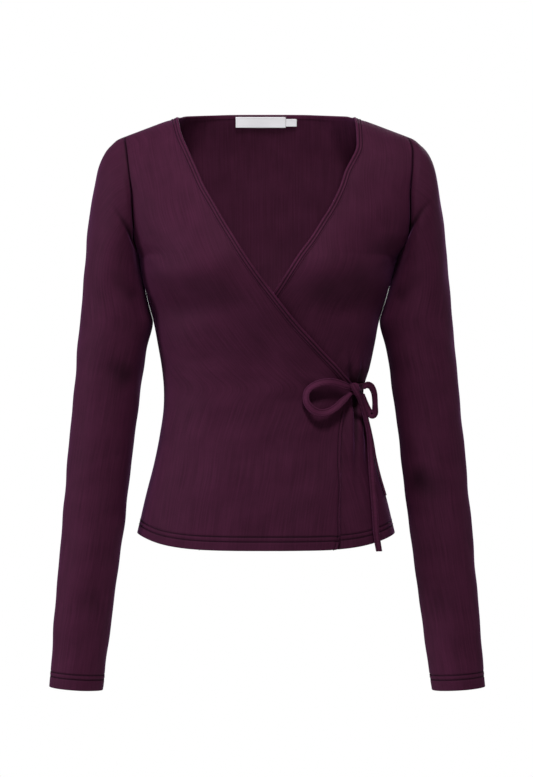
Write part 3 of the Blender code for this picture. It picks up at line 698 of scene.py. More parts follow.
def feed(tree, socket, value):
    if isinstance(value, bpy.types.NodeSocket):
        tree.links.new(value, socket)
    else:
        socket.default_value = value


def calc(tree, operation, *values):
    node = tree.nodes.new("ShaderNodeMath")
    node.operation = operation
    for socket, value in zip(node.inputs, values):
        feed(tree, socket, value)
    return node.outputs[0]


# Short names for the sums in one tree
def sums(tree):
    def named(operation):
        return lambda *values: calc(tree, operation, *values)

    return [named(operation) for operation in ("ADD", "SUBTRACT", "MULTIPLY", "DIVIDE")]


def setSockets(node, values):
    for label, value in values.items():
        node.inputs[label].default_value = value


def mixColour(tree, factor, first, second):
    node = tree.nodes.new("ShaderNodeMix")
    node.data_type = "RGBA"
    feed(tree, node.inputs[0], factor)
    feed(tree, node.inputs[6], first)
    feed(tree, node.inputs[7], second)
    return node.outputs[2]


def cloud(tree, vector, scale, detail=2.0):
    node = tree.nodes.new("ShaderNodeTexNoise")
    tree.links.new(vector, node.inputs["Vector"])
    node.inputs["Scale"].default_value = scale
    node.inputs["Detail"].default_value = detail
    return node.outputs[0]


def stretched(tree, vector, scale):
    node = tree.nodes.new("ShaderNodeMapping")
    tree.links.new(vector, node.inputs["Vector"])
    node.inputs["Scale"].default_value = scale
    return node.outputs[0]


knitLook = {
    "slant": 1.5,
    "waleHeight": 0.55,
    "loopHeight": 0.35,
    "fibreHeight": 0.15,
    "fibreScale": 2600.0,
    "streakScale": (520.0, 16.0, 1.0),
    "mottleScale": 34.0,
    "mottle": 0.45,
    "shade": 0.75,
    "shadeStart": 0.1,
    "roughness": 0.62,
    "fibreRoughness": 0.2,
}


# Columns of small V-shaped knit stitches, with the unevenness of the yarn
def knitGroup():
    group, inside, outside = newGroup(
        "knitStitches",
        [
            ("Place", "NodeSocketVector", (0, 0, 0)),
            ("Wale width", "NodeSocketFloat", 0.0011),
            ("Course height", "NodeSocketFloat", 0.0009),
            ("Yarn", "NodeSocketColor", (0.06, 0.013, 0.033, 1)),
            ("Between", "NodeSocketColor", (0.03, 0.006, 0.016, 1)),
            ("Streaks", "NodeSocketFloat", 0.1),
        ],
        [("Colour", "NodeSocketColor"), ("Height", "NodeSocketFloat"), ("Roughness", "NodeSocketFloat")],
    )
    place = inside.outputs["Place"]
    split = group.nodes.new("ShaderNodeSeparateXYZ")
    group.links.new(place, split.inputs[0])
    add, less, times, over = sums(group)
    wale = over(split.outputs[0], inside.outputs["Wale width"])
    course = over(split.outputs[1], inside.outputs["Course height"])
    fromMiddle = calc(group, "ABSOLUTE", less(calc(group, "FRACT", wale), 0.5))
    rounded = less(1.0, times(calc(group, "POWER", fromMiddle, 2.0), 4.0))
    slanted = add(course, times(fromMiddle, knitLook["slant"]))
    loops = add(times(calc(group, "SINE", times(slanted, 2 * math.pi)), 0.5), 0.5)
    fibre = cloud(group, place, knitLook["fibreScale"])
    height = add(times(rounded, knitLook["waleHeight"]), times(loops, knitLook["loopHeight"]))
    height = add(height, times(fibre, knitLook["fibreHeight"]))
    streak = cloud(group, stretched(group, place, knitLook["streakScale"]), 1.0, 1.0)
    mottle = cloud(group, place, knitLook["mottleScale"], 3.0)
    shade = add(times(height, knitLook["shade"]), knitLook["shadeStart"])
    shade = add(shade, times(less(streak, 0.5), inside.outputs["Streaks"]))
    shade = add(shade, times(less(mottle, 0.5), knitLook["mottle"]))
    shade = calc(group, "MINIMUM", calc(group, "MAXIMUM", shade, 0.0), 1.0)
    colour = mixColour(group, shade, inside.outputs["Between"], inside.outputs["Yarn"])
    roughness = add(times(fibre, knitLook["fibreRoughness"]), knitLook["roughness"])
    group.links.new(colour, outside.inputs["Colour"])
    group.links.new(height, outside.inputs["Height"])
    group.links.new(roughness, outside.inputs["Roughness"])
    return group


weaveLook = {"fibreScale": 3000.0, "threads": 0.5, "fibre": 0.4, "shade": 0.5, "shadeStart": 0.4}


# Fine plain weave of a label ribbon
def weaveGroup():
    group, inside, outside = newGroup(
        "plainWeave",
        [
            ("Place", "NodeSocketVector", (0, 0, 0)),
            ("Thread", "NodeSocketFloat", 0.0004),
            ("Light", "NodeSocketColor", (0.85, 0.85, 0.84, 1)),
            ("Dark", "NodeSocketColor", (0.7, 0.7, 0.69, 1)),
        ],
        [("Colour", "NodeSocketColor"), ("Height", "NodeSocketFloat")],
    )
    split = group.nodes.new("ShaderNodeSeparateXYZ")
    group.links.new(inside.outputs["Place"], split.inputs[0])
    add, _, times, over = sums(group)
    turns = [times(over(split.outputs[k], inside.outputs["Thread"]), math.pi) for k in (0, 1)]
    crossing = times(calc(group, "SINE", turns[0]), calc(group, "SINE", turns[1]))
    fibre = cloud(group, inside.outputs["Place"], weaveLook["fibreScale"])
    height = add(times(crossing, weaveLook["threads"]), times(fibre, weaveLook["fibre"]))
    shade = add(times(height, weaveLook["shade"]), weaveLook["shadeStart"])
    colour = mixColour(group, shade, inside.outputs["Dark"], inside.outputs["Light"])
    group.links.new(colour, outside.inputs["Colour"])
    group.links.new(height, outside.inputs["Height"])
    return group


def newMaterial(name):
    made = bpy.data.materials.new(name)
    made.use_nodes = True
    return made, made.node_tree, made.node_tree.nodes["Principled BSDF"]


def bumped(tree, height, strength, distance):
    bump = tree.nodes.new("ShaderNodeBump")
    tree.links.new(height, bump.inputs["Height"])
    setSockets(bump, {"Strength": strength, "Distance": distance})
    return bump.outputs[0]


# A node group that is laid on the piece's own UV map
def clothGroup(tree, source):
    where = tree.nodes.new("ShaderNodeUVMap")
    where.uv_map = "cloth"
    group = tree.nodes.new("ShaderNodeGroup")
    group.node_tree = source
    tree.links.new(where.outputs[0], group.inputs["Place"])
    return group


jerseyFinish = {
    "yarn": (0.066, 0.0122, 0.0345, 1.0),
    "between": (0.018, 0.0031, 0.0088, 1.0),
    # the dark colour of the painted shade in seams, stitch channels and creases
    "paintedShade": (0.005, 0.0008, 0.0026, 1.0),
    "wale": 0.00115,
    "course": 0.00090,
    "streaks": 0.60,
    "bump": 0.35,
    "bumpDepth": 0.00018,
    "specular": 0.07,
    "sheen": 0.13,
    "sheenRoughness": 0.32,
    "sheenTint": (0.60, 0.20, 0.60, 1.0),
}
# Painted highlight: how much lighter the jersey is made for the bindings and ties, for the brighter sheen
# they catch
paintedHighlightLift = {"binding": 1.18, "tie": 1.42}


def jerseyMaterial(name, knit, lighter=1.0):
    made, tree, shader = newMaterial(name)
    group = clothGroup(tree, knit)
    for label, tone in (("Yarn", "yarn"), ("Between", "between")):
        red, green, blue, alpha = jerseyFinish[tone]
        group.inputs[label].default_value = (red * lighter, green * lighter, blue * lighter, alpha)
    measures = {"Wale width": "wale", "Course height": "course", "Streaks": "streaks"}
    setSockets(group, {label: jerseyFinish[key] for label, key in measures.items()})
    # Painted shade: the attribute mixes the dark colour into the knit where shade falls in seams, channels
    # and creases
    paintedShadeNode = tree.nodes.new("ShaderNodeAttribute")
    paintedShadeNode.attribute_name = "paintedShade"
    colour = mixColour(tree, paintedShadeNode.outputs["Fac"], group.outputs["Colour"], jerseyFinish["paintedShade"])
    normal = bumped(tree, group.outputs["Height"], jerseyFinish["bump"], jerseyFinish["bumpDepth"])
    tree.links.new(colour, shader.inputs["Base Color"])
    tree.links.new(group.outputs["Roughness"], shader.inputs["Roughness"])
    tree.links.new(normal, shader.inputs["Normal"])
    shader.inputs["Specular IOR Level"].default_value = jerseyFinish["specular"]
    shader.inputs["Sheen Weight"].default_value = jerseyFinish["sheen"]
    shader.inputs["Sheen Roughness"].default_value = jerseyFinish["sheenRoughness"]
    shader.inputs["Sheen Tint"].default_value = jerseyFinish["sheenTint"]
    return made


threadFinish = {
    "plum": ((0.020, 0.0040, 0.0120, 1.0), (0.006, 0.0010, 0.0035, 1.0)),  # light and dark
    "white": ((0.8, 0.8, 0.79, 1.0), (0.55, 0.55, 0.54, 1.0)),
    "twistScale": 1800.0,
    "bump": 0.3,
    "bumpDepth": 0.0001,
    "roughness": 0.6,
}


def threadMaterial(tone):
    made, tree, shader = newMaterial(tone + "Thread")
    light, dark = threadFinish[tone]
    where = tree.nodes.new("ShaderNodeTexCoord")
    twist = cloud(tree, where.outputs["Object"], threadFinish["twistScale"])
    normal = bumped(tree, twist, threadFinish["bump"], threadFinish["bumpDepth"])
    tree.links.new(mixColour(tree, twist, dark, light), shader.inputs["Base Color"])
    tree.links.new(normal, shader.inputs["Normal"])
    shader.inputs["Roughness"].default_value = threadFinish["roughness"]
    shader.inputs["Specular IOR Level"].default_value = jerseyFinish["specular"]
    return made


labelFinish = {"bump": 0.4, "bumpDepth": 0.0001, "roughness": 0.55, "sheen": 0.15}


def labelMaterial():
    made, tree, shader = newMaterial("wovenLabel")
    group = clothGroup(tree, weaveGroup())
    normal = bumped(tree, group.outputs["Height"], labelFinish["bump"], labelFinish["bumpDepth"])
    tree.links.new(group.outputs["Colour"], shader.inputs["Base Color"])
    tree.links.new(normal, shader.inputs["Normal"])
    shader.inputs["Roughness"].default_value = labelFinish["roughness"]
    shader.inputs["Sheen Weight"].default_value = labelFinish["sheen"]
    return made


knit = knitGroup()
jersey = jerseyMaterial("plumJersey", knit)
# Lighter copies of the jersey: painted highlight
bindingJersey = jerseyMaterial("plumBinding", knit, paintedHighlightLift["binding"])
tieJersey = jerseyMaterial("plumTie", knit, paintedHighlightLift["tie"])
thread = threadMaterial("plum")
labelCloth = labelMaterial()
whiteThread = threadMaterial("white")
print("finishes ready")


# Stitches: a row of thread lengths along a line, made by Geometry Nodes

stitches = {"pitch": 0.0028, "length": 0.0021, "radius": 0.00046, "lift": 0.00025, "endsDrawnIn": 2.6}


def stitchTree():
    tree = bpy.data.node_groups.new("stitchRow", "GeometryNodeTree")
    for label, kind, value in (
        ("Geometry", "NodeSocketGeometry", None),
        ("Pitch", "NodeSocketFloat", stitches["pitch"]),
        ("Length", "NodeSocketFloat", stitches["length"]),
        ("Radius", "NodeSocketFloat", stitches["radius"]),
        ("Thread", "NodeSocketMaterial", None),
    ):
        socket = tree.interface.new_socket(name=label, in_out="INPUT", socket_type=kind)
        if value is not None:
            socket.default_value = value
    tree.interface.new_socket(name="Geometry", in_out="OUTPUT", socket_type="NodeSocketGeometry")
    inside, outside = tree.nodes.new("NodeGroupInput"), tree.nodes.new("NodeGroupOutput")
    new, link = tree.nodes.new, tree.links.new

    curve = new("GeometryNodeMeshToCurve")
    link(inside.outputs["Geometry"], curve.inputs[0])
    resample = new("GeometryNodeResampleCurve")
    resample.mode = "LENGTH"
    link(curve.outputs[0], resample.inputs["Curve"])
    link(inside.outputs["Pitch"], resample.inputs["Length"])
    turn = new("FunctionNodeAlignRotationToVector")
    turn.axis = "Z"
    link(new("GeometryNodeInputTangent").outputs[0], turn.inputs["Vector"])

    tube = new("GeometryNodeMeshCylinder")
    tube.fill_type = "TRIANGLE_FAN"
    setSockets(tube, {"Vertices": 6, "Side Segments": 3})
    link(inside.outputs["Radius"], tube.inputs["Radius"])
    link(inside.outputs["Length"], tube.inputs["Depth"])
    # The ends draw in, as a stitch does where it goes down into the cloth
    split = new("ShaderNodeSeparateXYZ")
    link(new("GeometryNodeInputPosition").outputs[0], split.inputs[0])
    along = calc(tree, "DIVIDE", split.outputs[2], inside.outputs["Length"])
    squared = calc(tree, "MULTIPLY", along, along)
    narrow = calc(tree, "MULTIPLY_ADD", squared, -stitches["endsDrawnIn"], 1.0)
    shape = new("ShaderNodeCombineXYZ")
    for k in (0, 1):
        link(calc(tree, "MULTIPLY", split.outputs[k], narrow), shape.inputs[k])
    link(split.outputs[2], shape.inputs[2])
    drawnIn = new("GeometryNodeSetPosition")
    link(tube.outputs["Mesh"], drawnIn.inputs["Geometry"])
    link(shape.outputs[0], drawnIn.inputs["Position"])

    spread = new("GeometryNodeInstanceOnPoints")
    link(resample.outputs[0], spread.inputs["Points"])
    link(drawnIn.outputs[0], spread.inputs["Instance"])
    link(turn.outputs[0], spread.inputs["Rotation"])
    realize = new("GeometryNodeRealizeInstances")
    link(spread.outputs[0], realize.inputs[0])
    smoothed = new("GeometryNodeSetShadeSmooth")
    link(realize.outputs[0], smoothed.inputs[0])
    finish = new("GeometryNodeSetMaterial")
    link(smoothed.outputs[0], finish.inputs["Geometry"])
    link(inside.outputs["Thread"], finish.inputs["Material"])
    link(finish.outputs[0], outside.inputs[0])
    return tree


stitchRow = stitchTree()


def stitchLines(name, lines, material=None, **sizes):
    points = np.concatenate(lines)
    edges, start = [], 0
    for line in lines:
        edges += [(start + k, start + k + 1) for k in range(len(line) - 1)]
        start += len(line)
    mesh = bpy.data.meshes.new(name)
    mesh.from_pydata(points.tolist(), edges, [])
    made = placed(name, mesh)
    modifier = made.modifiers.new("stitches", "NODES")
    modifier.node_group = stitchRow
    values = {"Thread": material or thread, **sizes}
    for item in stitchRow.interface.items_tree:
        if item.name in values and item.in_out == "INPUT":
            modifier[item.identifier] = values[item.name]
    evaluated = made.evaluated_get(bpy.context.evaluated_depsgraph_get())
    plain = bpy.data.meshes.new_from_object(evaluated)
    made.modifiers.clear()
    made.data = plain
    return made


# The panels

parts = {}
stitchesOf = {}


def finished(made, material=None):
    made.data.materials.clear()
    made.data.materials.append(material or jersey)
    return made


hems = {
    "channel": 0.0008,
    "channelWidth": 0.0012,
    "step": 0.0002,
    "seamDip": 0.0009,
    "seamWidth": 0.0016,
    "seamFacing": (0.3, 0.35),  # the dip starts where the cloth faces this much front or back
    "seamFlat": 0.010,  # a hem's channels end this near a seam
    "stepRun": 0.0020,
    "wallRun": 0.0012,
    "cornerIn": 0.0036,  # the free corner is rounded: how far in, from how far up
    "cornerUp": 0.0120,
}
tuck = {"depth": 0.0024, "width": 0.0015, "away": 0.0003, "down": 0.372, "run": 0.03}  # beside the over front
# Painted shade: how dark the colour is painted along seams, along stitch channels and in crease troughs, and
# how wide
paintedShading = {
    "seam": 0.75,
    "seamWidth": 0.0011,
    "stitch": 0.80,
    "stitchWidth": 0.0007,
    "edgeShare": 0.3,
    "fold": 0.75,
    "foldDepth": 0.0050,
}


# A turned hem: a step where the inner layer ends, and two shallow channels under its stitches
def hemRelief(away, lines):
    relief = np.zeros_like(away)
    for line in lines:
        relief -= hems["channel"] * bell(away - line, hems["channelWidth"])
    return relief + hems["step"] * ease((lines[-1] + hems["stepRun"] - away) / hems["stepRun"])


# The cloth dips where a seam draws it in, in front and behind only: not on the shoulder or under the arm
def seamRelief(away, normals):
    start, run = hems["seamFacing"]
    return -hems["seamDip"] * bell(away, hems["seamWidth"]) * ease((np.abs(normals[..., 1]) - start) / run)


# Painted shade along a seam line
def paintedSeamShade(away):
    return paintedShading["seam"] * bell(away, paintedShading["seamWidth"])


# Painted shade in the channels under rows of stitches
def paintedStitchShade(away, lines):
    return paintedShading["stitch"] * sum(bell(away - line, paintedShading["stitchWidth"]) for line in lines)


# Painted shade in the troughs of creases
def paintedFoldShade(height):
    return paintedShading["fold"] * np.clip(-height / paintedShading["foldDepth"], 0, 1)


# Takes the lower corner at the free edge off in a curve
def roundedCorner(grid):
    up = runLengths(grid[::-1, -1:], 0)[::-1, 0]
    inset = hems["cornerIn"] * np.clip(1 - up / hems["cornerUp"], 0, 1) ** 2
    reach = 4 * hems["cornerIn"]
    across = runLengths(grid, 1)
    made = grid.copy()
    for row in np.nonzero(inset > 0)[0]:
        length = across[row, -1]
        at = across[row] - inset[row] * ease((across[row] - length + reach) / reach)
        for axis in range(3):
            made[row, :, axis] = np.interp(at, across[row], grid[row, :, axis])
    return made


def hemWall(away, width):
    return cloth["wall"] + (cloth["hemWall"] - cloth["wall"]) * (1 - ease((away - width) / hems["wallRun"]))


hemStitches = (0.0115, 0.0175)
cuffStitches = (0.0137, 0.0197)
edgeStitch = (0.0042,)
edgeRows = {"reliefFrom": 0.6, "run": 0.8, "stitchesFrom": 1.2}  # rows below the waist row


def awayFromHem(grid):
    return runLengths(grid[::-1], 0)[::-1]


def frontPanel(side, name, node, columns):
    grid = frontGrid(side, name, columns)
    flip = side > 0
    if name == "over":
        grid = roundedCorner(grid)
    away, fromSeam = awayFromHem(grid), runLengths(grid, 1)
    fromEdge = fromSeam[:, -1:] - fromSeam
    below = ease((rows - grids["waistRow"] - edgeRows["reliefFrom"]) / edgeRows["run"])[:, None]
    # Painted shade along the side seam, the hem and edge stitch channels and in the crease troughs
    paintedShade = paintedSeamShade(fromSeam) + paintedStitchShade(away, hemStitches)
    paintedShade = paintedShade + paintedStitchShade(fromEdge, edgeStitch) * below * paintedShading["edgeShare"]
    paintedShade = paintedShade + paintedFoldShade(creaseHeight(grid[..., 0], -grid[..., 2], frontCreases, creaseRise))
    relief = seamRelief(fromSeam, gridNormals(grid, False, flip))
    relief = relief + hemRelief(away, hemStitches) * ease(fromSeam / hems["seamFlat"])
    relief = relief + hemRelief(fromEdge, edgeStitch) * below
    # Beside the over front's edge the under front has a trough and a painted shadow
    if name == "under":
        beside = grid[..., 0] - tuck["away"] - smooth(-grid[..., 2], frontEdges["down"], frontEdges["over"])
        closeBy = bell(beside, tuck["width"]) * ease((-grid[..., 2] - tuck["down"]) / tuck["run"])
        relief = relief - tuck["depth"] * closeBy
        paintedShade = paintedShade + paintedShading["seam"] * closeBy
    grid = moved(grid, relief, flip=flip)
    wall = np.maximum(hemWall(away, cloth["hemWidth"]), hemWall(fromEdge, cloth["edgeWidth"]) * below)
    parts[node] = finished(clothShell(node + "_cloth", grid, wall, flip=flip, paintedShade=paintedShade))
    lines = [lineFromEdge(grid, line, lift=stitches["lift"], flip=flip) for line in hemStitches]
    startRow = int(np.searchsorted(rows, grids["waistRow"] + edgeRows["stitchesFrom"]))
    lines.append(lineFromEdge(grid[startRow:], *edgeStitch, byColumn=True, lift=stitches["lift"], flip=flip))
    stitchesOf[node] = stitchLines(node + "_stitches", lines)


def frontColumns(count, **crowding):
    share = grids["edgeShare"]
    main = crowdedPlaces(count, **crowding) * share
    return np.concatenate([main[:-1], np.linspace(share, 1, grids["edgeColumns"])])


frontPanel(-1, "over", "front_right", frontColumns(grids["overColumns"], crowded=2.0, at=0.95, width=0.15))
frontPanel(1, "under", "front_left", frontColumns(grids["underColumns"], crowded=2.2, at=0.17, width=0.09))


def backPanel():
    grid = backGrid()
    away, across = awayFromHem(grid), runLengths(grid, 1)
    fromSeam = np.minimum(across, across[:, -1:] - across)
    relief = seamRelief(fromSeam, gridNormals(grid, False, True))
    relief = relief + hemRelief(away, hemStitches) * ease(fromSeam / hems["seamFlat"])
    # Painted shade along the side seams and the hem stitch channels
    paintedShade = paintedSeamShade(fromSeam) + paintedStitchShade(away, hemStitches)
    grid = moved(grid, relief, flip=True)
    wall = hemWall(away, cloth["hemWidth"])
    parts["back"] = finished(clothShell("back_cloth", grid, wall, flip=True, paintedShade=paintedShade))
    lines = [lineFromEdge(grid, line, lift=stitches["lift"], flip=True) for line in hemStitches]
    stitchesOf["back"] = stitchLines("back_stitches", lines)


backPanel()
print("panels made")


# The sleeves: sections from the shoulder to the cuff, with their outer and inner side

sleeveSections = table(
    "outer   downOut inner   downIn  depth   forward",
    (0.1922, 0.0324, 0.1612, 0.1790, 0.0580, 0.0000),
    (0.2035, 0.0444, 0.1608, 0.1815, 0.0578, 0.0000),
    (0.2126, 0.0640, 0.1602, 0.1845, 0.0570, 0.0000),
    (0.2184, 0.0900, 0.1596, 0.1880, 0.0555, 0.0000),
    (0.2230, 0.1180, 0.1590, 0.1930, 0.0540, 0.0000),
    (0.2265, 0.1490, 0.1580, 0.1995, 0.0520, 0.0000),
    (0.2297, 0.1830, 0.1560, 0.2110, 0.0500, 0.0000),
    (0.2328, 0.2200, 0.1514, 0.2310, 0.0484, 0.0000),
    (0.2358, 0.2578, 0.1456, 0.2590, 0.0470, -0.0005),
    (0.2390, 0.2920, 0.1512, 0.2920, 0.0455, -0.0010),
    (0.2422, 0.3300, 0.1568, 0.3300, 0.0440, -0.0020),
    (0.2486, 0.4000, 0.1658, 0.4000, 0.0410, -0.0050),
    (0.2552, 0.4813, 0.1750, 0.4813, 0.0380, -0.0100),
    (0.2618, 0.5626, 0.1854, 0.5626, 0.0345, -0.0160),
    (0.2680, 0.6440, 0.1958, 0.6450, 0.0315, -0.0220),
    (0.2732, 0.7205, 0.2065, 0.7250, 0.0295, -0.0270),
)
sleeveForm = {
    "touchingDown": 0.30,
    "clear": 0.0002,  # from the body above that
    "bulgeRings": 8,
    "side": {-1: (0.0, 0.0, 0.0), 1: (-0.0006, 0.0048, 0.0030)},  # outer side farther out, both sides' lean
    "closer": 0.0022,  # the inner side, toward the body under the arm
    "closerDown": 0.262,
    "closerRun": 0.04,
    "seamAway": 0.00005,
    "underarmLap": 0.0006,
    "cuffRun": 0.024,  # with closer rings
    "cuffRings": 25,
    "fineSteps": 12,
    "capLift": 0.35,
    "capRun": 0.4,
    "creaseFacing": 1.6,
    "waveRings": 14,  # the waves come in over these
    "waveTurn": 1.3,
    "bodyside": {"facing": 0.85, "run": 0.12, "down": 0.33, "downRun": 0.05, "flatter": 0.85},
}

# Creases of a sleeve as seen from the front, x from the middle. "face" is -1 in front and 1 behind, and
# "side" is the sleeve that has it, or 0 for both. The underarm ones have a sharp trough below a soft ridge.
sleeveCreases = table(
    "x1      down1   x2      down2   height   width   bow      face side",
    (0.1570, 0.1870, 0.2010, 0.1045, -0.0050, 0.0028, 0.0052, -1, -1),
    (0.1600, 0.1960, 0.2080, 0.1130, 0.0024, 0.0075, 0.0052, -1, -1),
    (0.1520, 0.1760, 0.1960, 0.0940, 0.0012, 0.0060, 0.0052, -1, -1),
    (0.1630, 0.1870, 0.2200, 0.0960, -0.0056, 0.0028, 0.0077, -1, 1),
    (0.1670, 0.1960, 0.2270, 0.1060, 0.0024, 0.0075, 0.0077, -1, 1),
    (0.1580, 0.1760, 0.2130, 0.0860, 0.0012, 0.0060, 0.0077, -1, 1),
    (0.1620, 0.2400, 0.2050, 0.2000, -0.0014, 0.0090, 0.0050, -1, 0),
    (0.1600, 0.2900, 0.2200, 0.3150, 0.0012, 0.0120, -0.0060, -1, 0),
    (0.1650, 0.3450, 0.2300, 0.2900, -0.0024, 0.0150, 0.0060, -1, -1),
    (0.1700, 0.4200, 0.2350, 0.4000, 0.0018, 0.0160, 0.0050, -1, 0),
    (0.1750, 0.4500, 0.2450, 0.4800, -0.0026, 0.0170, -0.0050, -1, 1),
    (0.1950, 0.5700, 0.2550, 0.5200, 0.0020, 0.0180, 0.0040, -1, -1),
    (0.2000, 0.6100, 0.2550, 0.6250, -0.0009, 0.0130, 0.0040, -1, 0),
    (0.1600, 0.1870, 0.2080, 0.1000, -0.0030, 0.0034, 0.0060, 1, 0),
    (0.1650, 0.1980, 0.2140, 0.1120, 0.0022, 0.0080, 0.0060, 1, 0),
    (0.1650, 0.3800, 0.2300, 0.3500, 0.0016, 0.0090, 0.0060, 1, 0),
    (0.1700, 0.4050, 0.2300, 0.3850, -0.0015, 0.0080, 0.0050, 1, 0),
    (0.1720, 0.4350, 0.2300, 0.4250, 0.0012, 0.0100, -0.0040, 1, 0),
    (0.1850, 0.5400, 0.2450, 0.5600, 0.0008, 0.0120, 0.0050, 1, 0),
)


def armholeRing(side, angles):
    ring = []
    middle, underarm = bodyForm["armholeMiddle"], bodyForm["underarmDown"]
    for turn in angles:
        face = "front" if turn <= math.pi else "back"
        height = middle - bodyForm["shoulderDrop"] if math.cos(turn) > 0 else underarm - middle
        down = middle - height * math.cos(turn)
        x = side * float(sideHalf(side, down))
        z = min(-down, float(shoulderHeight(x)))
        y = float(bodyDepth(x, z, face)) * (-1 if face == "front" else 1)
        lean = float(ease((math.acos(math.cos(turn)) / math.pi - 0.5) * 2)) * math.pi / 2
        away = sleeveForm["seamAway"] - sleeveForm["underarmLap"] * float(ease(lean * 2 / math.pi * 4 - 3))
        ring.append((x + side * away * math.cos(lean), y, z + away * math.sin(lean)))
    return np.array(ring)


def sleeveRing(side, at, angles, bulge):
    index = np.arange(len(sleeveSections["outer"]))
    outerX, downOut, innerX, downIn, depth, forward = (
        float(smooth(at, index, sleeveSections[c]))
        for c in ("outer", "downOut", "inner", "downIn", "depth", "forward")
    )
    farther, outerLean, innerLean = sleeveForm["side"][side]
    outerX, innerX = outerX + farther + outerLean * downOut, innerX + innerLean * downIn
    below = ease((downIn - sleeveForm["closerDown"]) / sleeveForm["closerRun"])
    innerX = innerX - sleeveForm["closer"] * (1 - below)
    if downIn < sleeveForm["touchingDown"]:
        innerX = max(innerX, float(sideHalf(side, downIn)) + sleeveForm["clear"])
    x = side * ((outerX + innerX) / 2 + (outerX - innerX) / 2 * np.cos(angles))
    x = x + bulge * (1 - ease(at / sleeveForm["bulgeRings"]))
    z = -(downOut + downIn) / 2 + (downIn - downOut) / 2 * np.cos(angles)
    return np.stack([x, forward - depth * np.sin(angles), z], axis=1)


def sleeveGrid(side):
    angles = np.linspace(0, 2 * math.pi, grids["sleeveAngles"], endpoint=False)
    armhole = armholeRing(side, angles)
    top, under = armhole[0], armhole[len(angles) // 2]
    share = (1 - np.cos(angles))[:, None] / 2
    bulge = (armhole - (top + (under - top) * share))[:, 0]
    last = len(sleeveSections["outer"]) - 1
    fine = np.linspace(0, last, sleeveForm["fineSteps"] * last + 1)
    middles = np.array([sleeveRing(side, at, angles, bulge).mean(axis=0) for at in fine])
    length = np.concatenate([[0], np.cumsum(np.linalg.norm(np.diff(middles, axis=0), axis=1))])
    cuffStart = length[-1] - sleeveForm["cuffRun"]
    cuffPlaces = np.linspace(cuffStart, length[-1], sleeveForm["cuffRings"])
    places = np.concatenate([np.arange(0, cuffStart, grids["sleeveStep"]), cuffPlaces])
    rings = [sleeveRing(side, at, angles, bulge) for at in np.interp(places, length, fine)]
    # The cap leaves the armhole seam squarely and joins the first section smoothly
    first = rings[0]
    forwardRun = sleeveRing(side, sleeveForm["capRun"], angles, bulge) - first
    span = np.linalg.norm(first - armhole, axis=1, keepdims=True)
    startRun = (first - armhole) + np.array([side * sleeveForm["capLift"], 0, 0]) * span
    endRun = unit(forwardRun) * span
    shares = np.linspace(0, 1, grids["capRings"] + 1)[:-1]
    return np.array([between(t, armhole, startRun, first, endRun) for t in shares] + rings)


def sleeve(side, node):
    grid = sleeveGrid(side)
    flip, bodyside = side > 0, sleeveForm["bodyside"]
    normals = gridNormals(grid, True, flip)
    relief = np.zeros(grid.shape[:2])
    for facing in (-1, 1):
        mine = (sleeveCreases["face"] == facing) & (sleeveCreases["side"] != -side)
        chosen = {name: column[mine] for name, column in sleeveCreases.items()}
        height = creaseHeight(side * grid[..., 0], -grid[..., 2], chosen, creaseRise)
        relief += height * ease(normals[..., 1] * facing * sleeveForm["creaseFacing"])
    # Painted shade in the troughs of the sleeve creases
    paintedShade = paintedFoldShade(relief * 2)
    fade = ease(np.arange(len(grid)) / sleeveForm["waveRings"])[:, None]
    relief += waveHeight(grid[..., 0] * sleeveForm["waveTurn"] + grid[..., 1], -grid[..., 2]) * fade
    inward = ease((-side * normals[..., 0] - bodyside["facing"]) / bodyside["run"])
    inward = inward * ease((bodyside["down"] + grid[..., 2]) / bodyside["downRun"])
    relief = relief * (1 - bodyside["flatter"] * inward)  # it stays off the body
    grid = moved(grid, relief, True, flip)
    away, fromSeam = awayFromHem(grid), runLengths(grid, 0)
    # and painted shade along the armhole seam and the cuff stitch channels
    paintedShade = paintedShade + paintedSeamShade(fromSeam) + paintedStitchShade(away, cuffStitches)
    relief = hemRelief(away, cuffStitches) + seamRelief(fromSeam, gridNormals(grid, True, flip))
    grid = moved(grid, relief, True, flip)
    wall = hemWall(away, cloth["cuffWidth"])
    parts[node] = finished(clothShell(node + "_cloth", grid, wall, closed=True, flip=flip, paintedShade=paintedShade))
    lines = []
    for away in cuffStitches:
        line = lineFromEdge(grid, away, closed=True, lift=stitches["lift"], flip=flip)
        lines.append(np.concatenate([line, line[:1]]))
    stitchesOf[node] = stitchLines(node + "_stitches", lines)


sleeve(-1, "sleeve_right")
sleeve(1, "sleeve_left")
print("sleeves made")


# The neck bindings: each a strip folded over the edge of its panel, held by two rows of stitches


# The strip's cross section: how far from the fold each point is, how far out of the panel's surface,
# and the height of the padded ridge there
def bindingSection(face):
    wall, clear = bindings["wall"], bindings["clear"]
    outerLevel, innerLevel = clear + wall, -(cloth["wall"] + clear + wall)
    half = (outerLevel - innerLevel) / 2
    section = []
    for away in np.linspace(bindings["width"][face], half, bindings["crossSteps"]):
        ridge = 0.0
        for start, end, height in bindings["ridges"]:
            inside = np.clip((away - start) / (end - start), 0, 1)
            ridge += height * math.sin(math.pi * inside) ** bindings["ridgeRound"]
        section.append((away, outerLevel, ridge))
    for turn in np.linspace(0, math.pi, bindings["foldSteps"] + 2)[1:-1]:
        level = innerLevel + half + half * math.cos(turn)
        section.append((half * (1 - math.sin(turn)), level, section[-1][2] * (1 + math.cos(turn)) / 2))
    for away in np.linspace(half, bindings["inside"][face], bindings["innerSteps"]):
        section.append((away, innerLevel, 0.0))
    return section


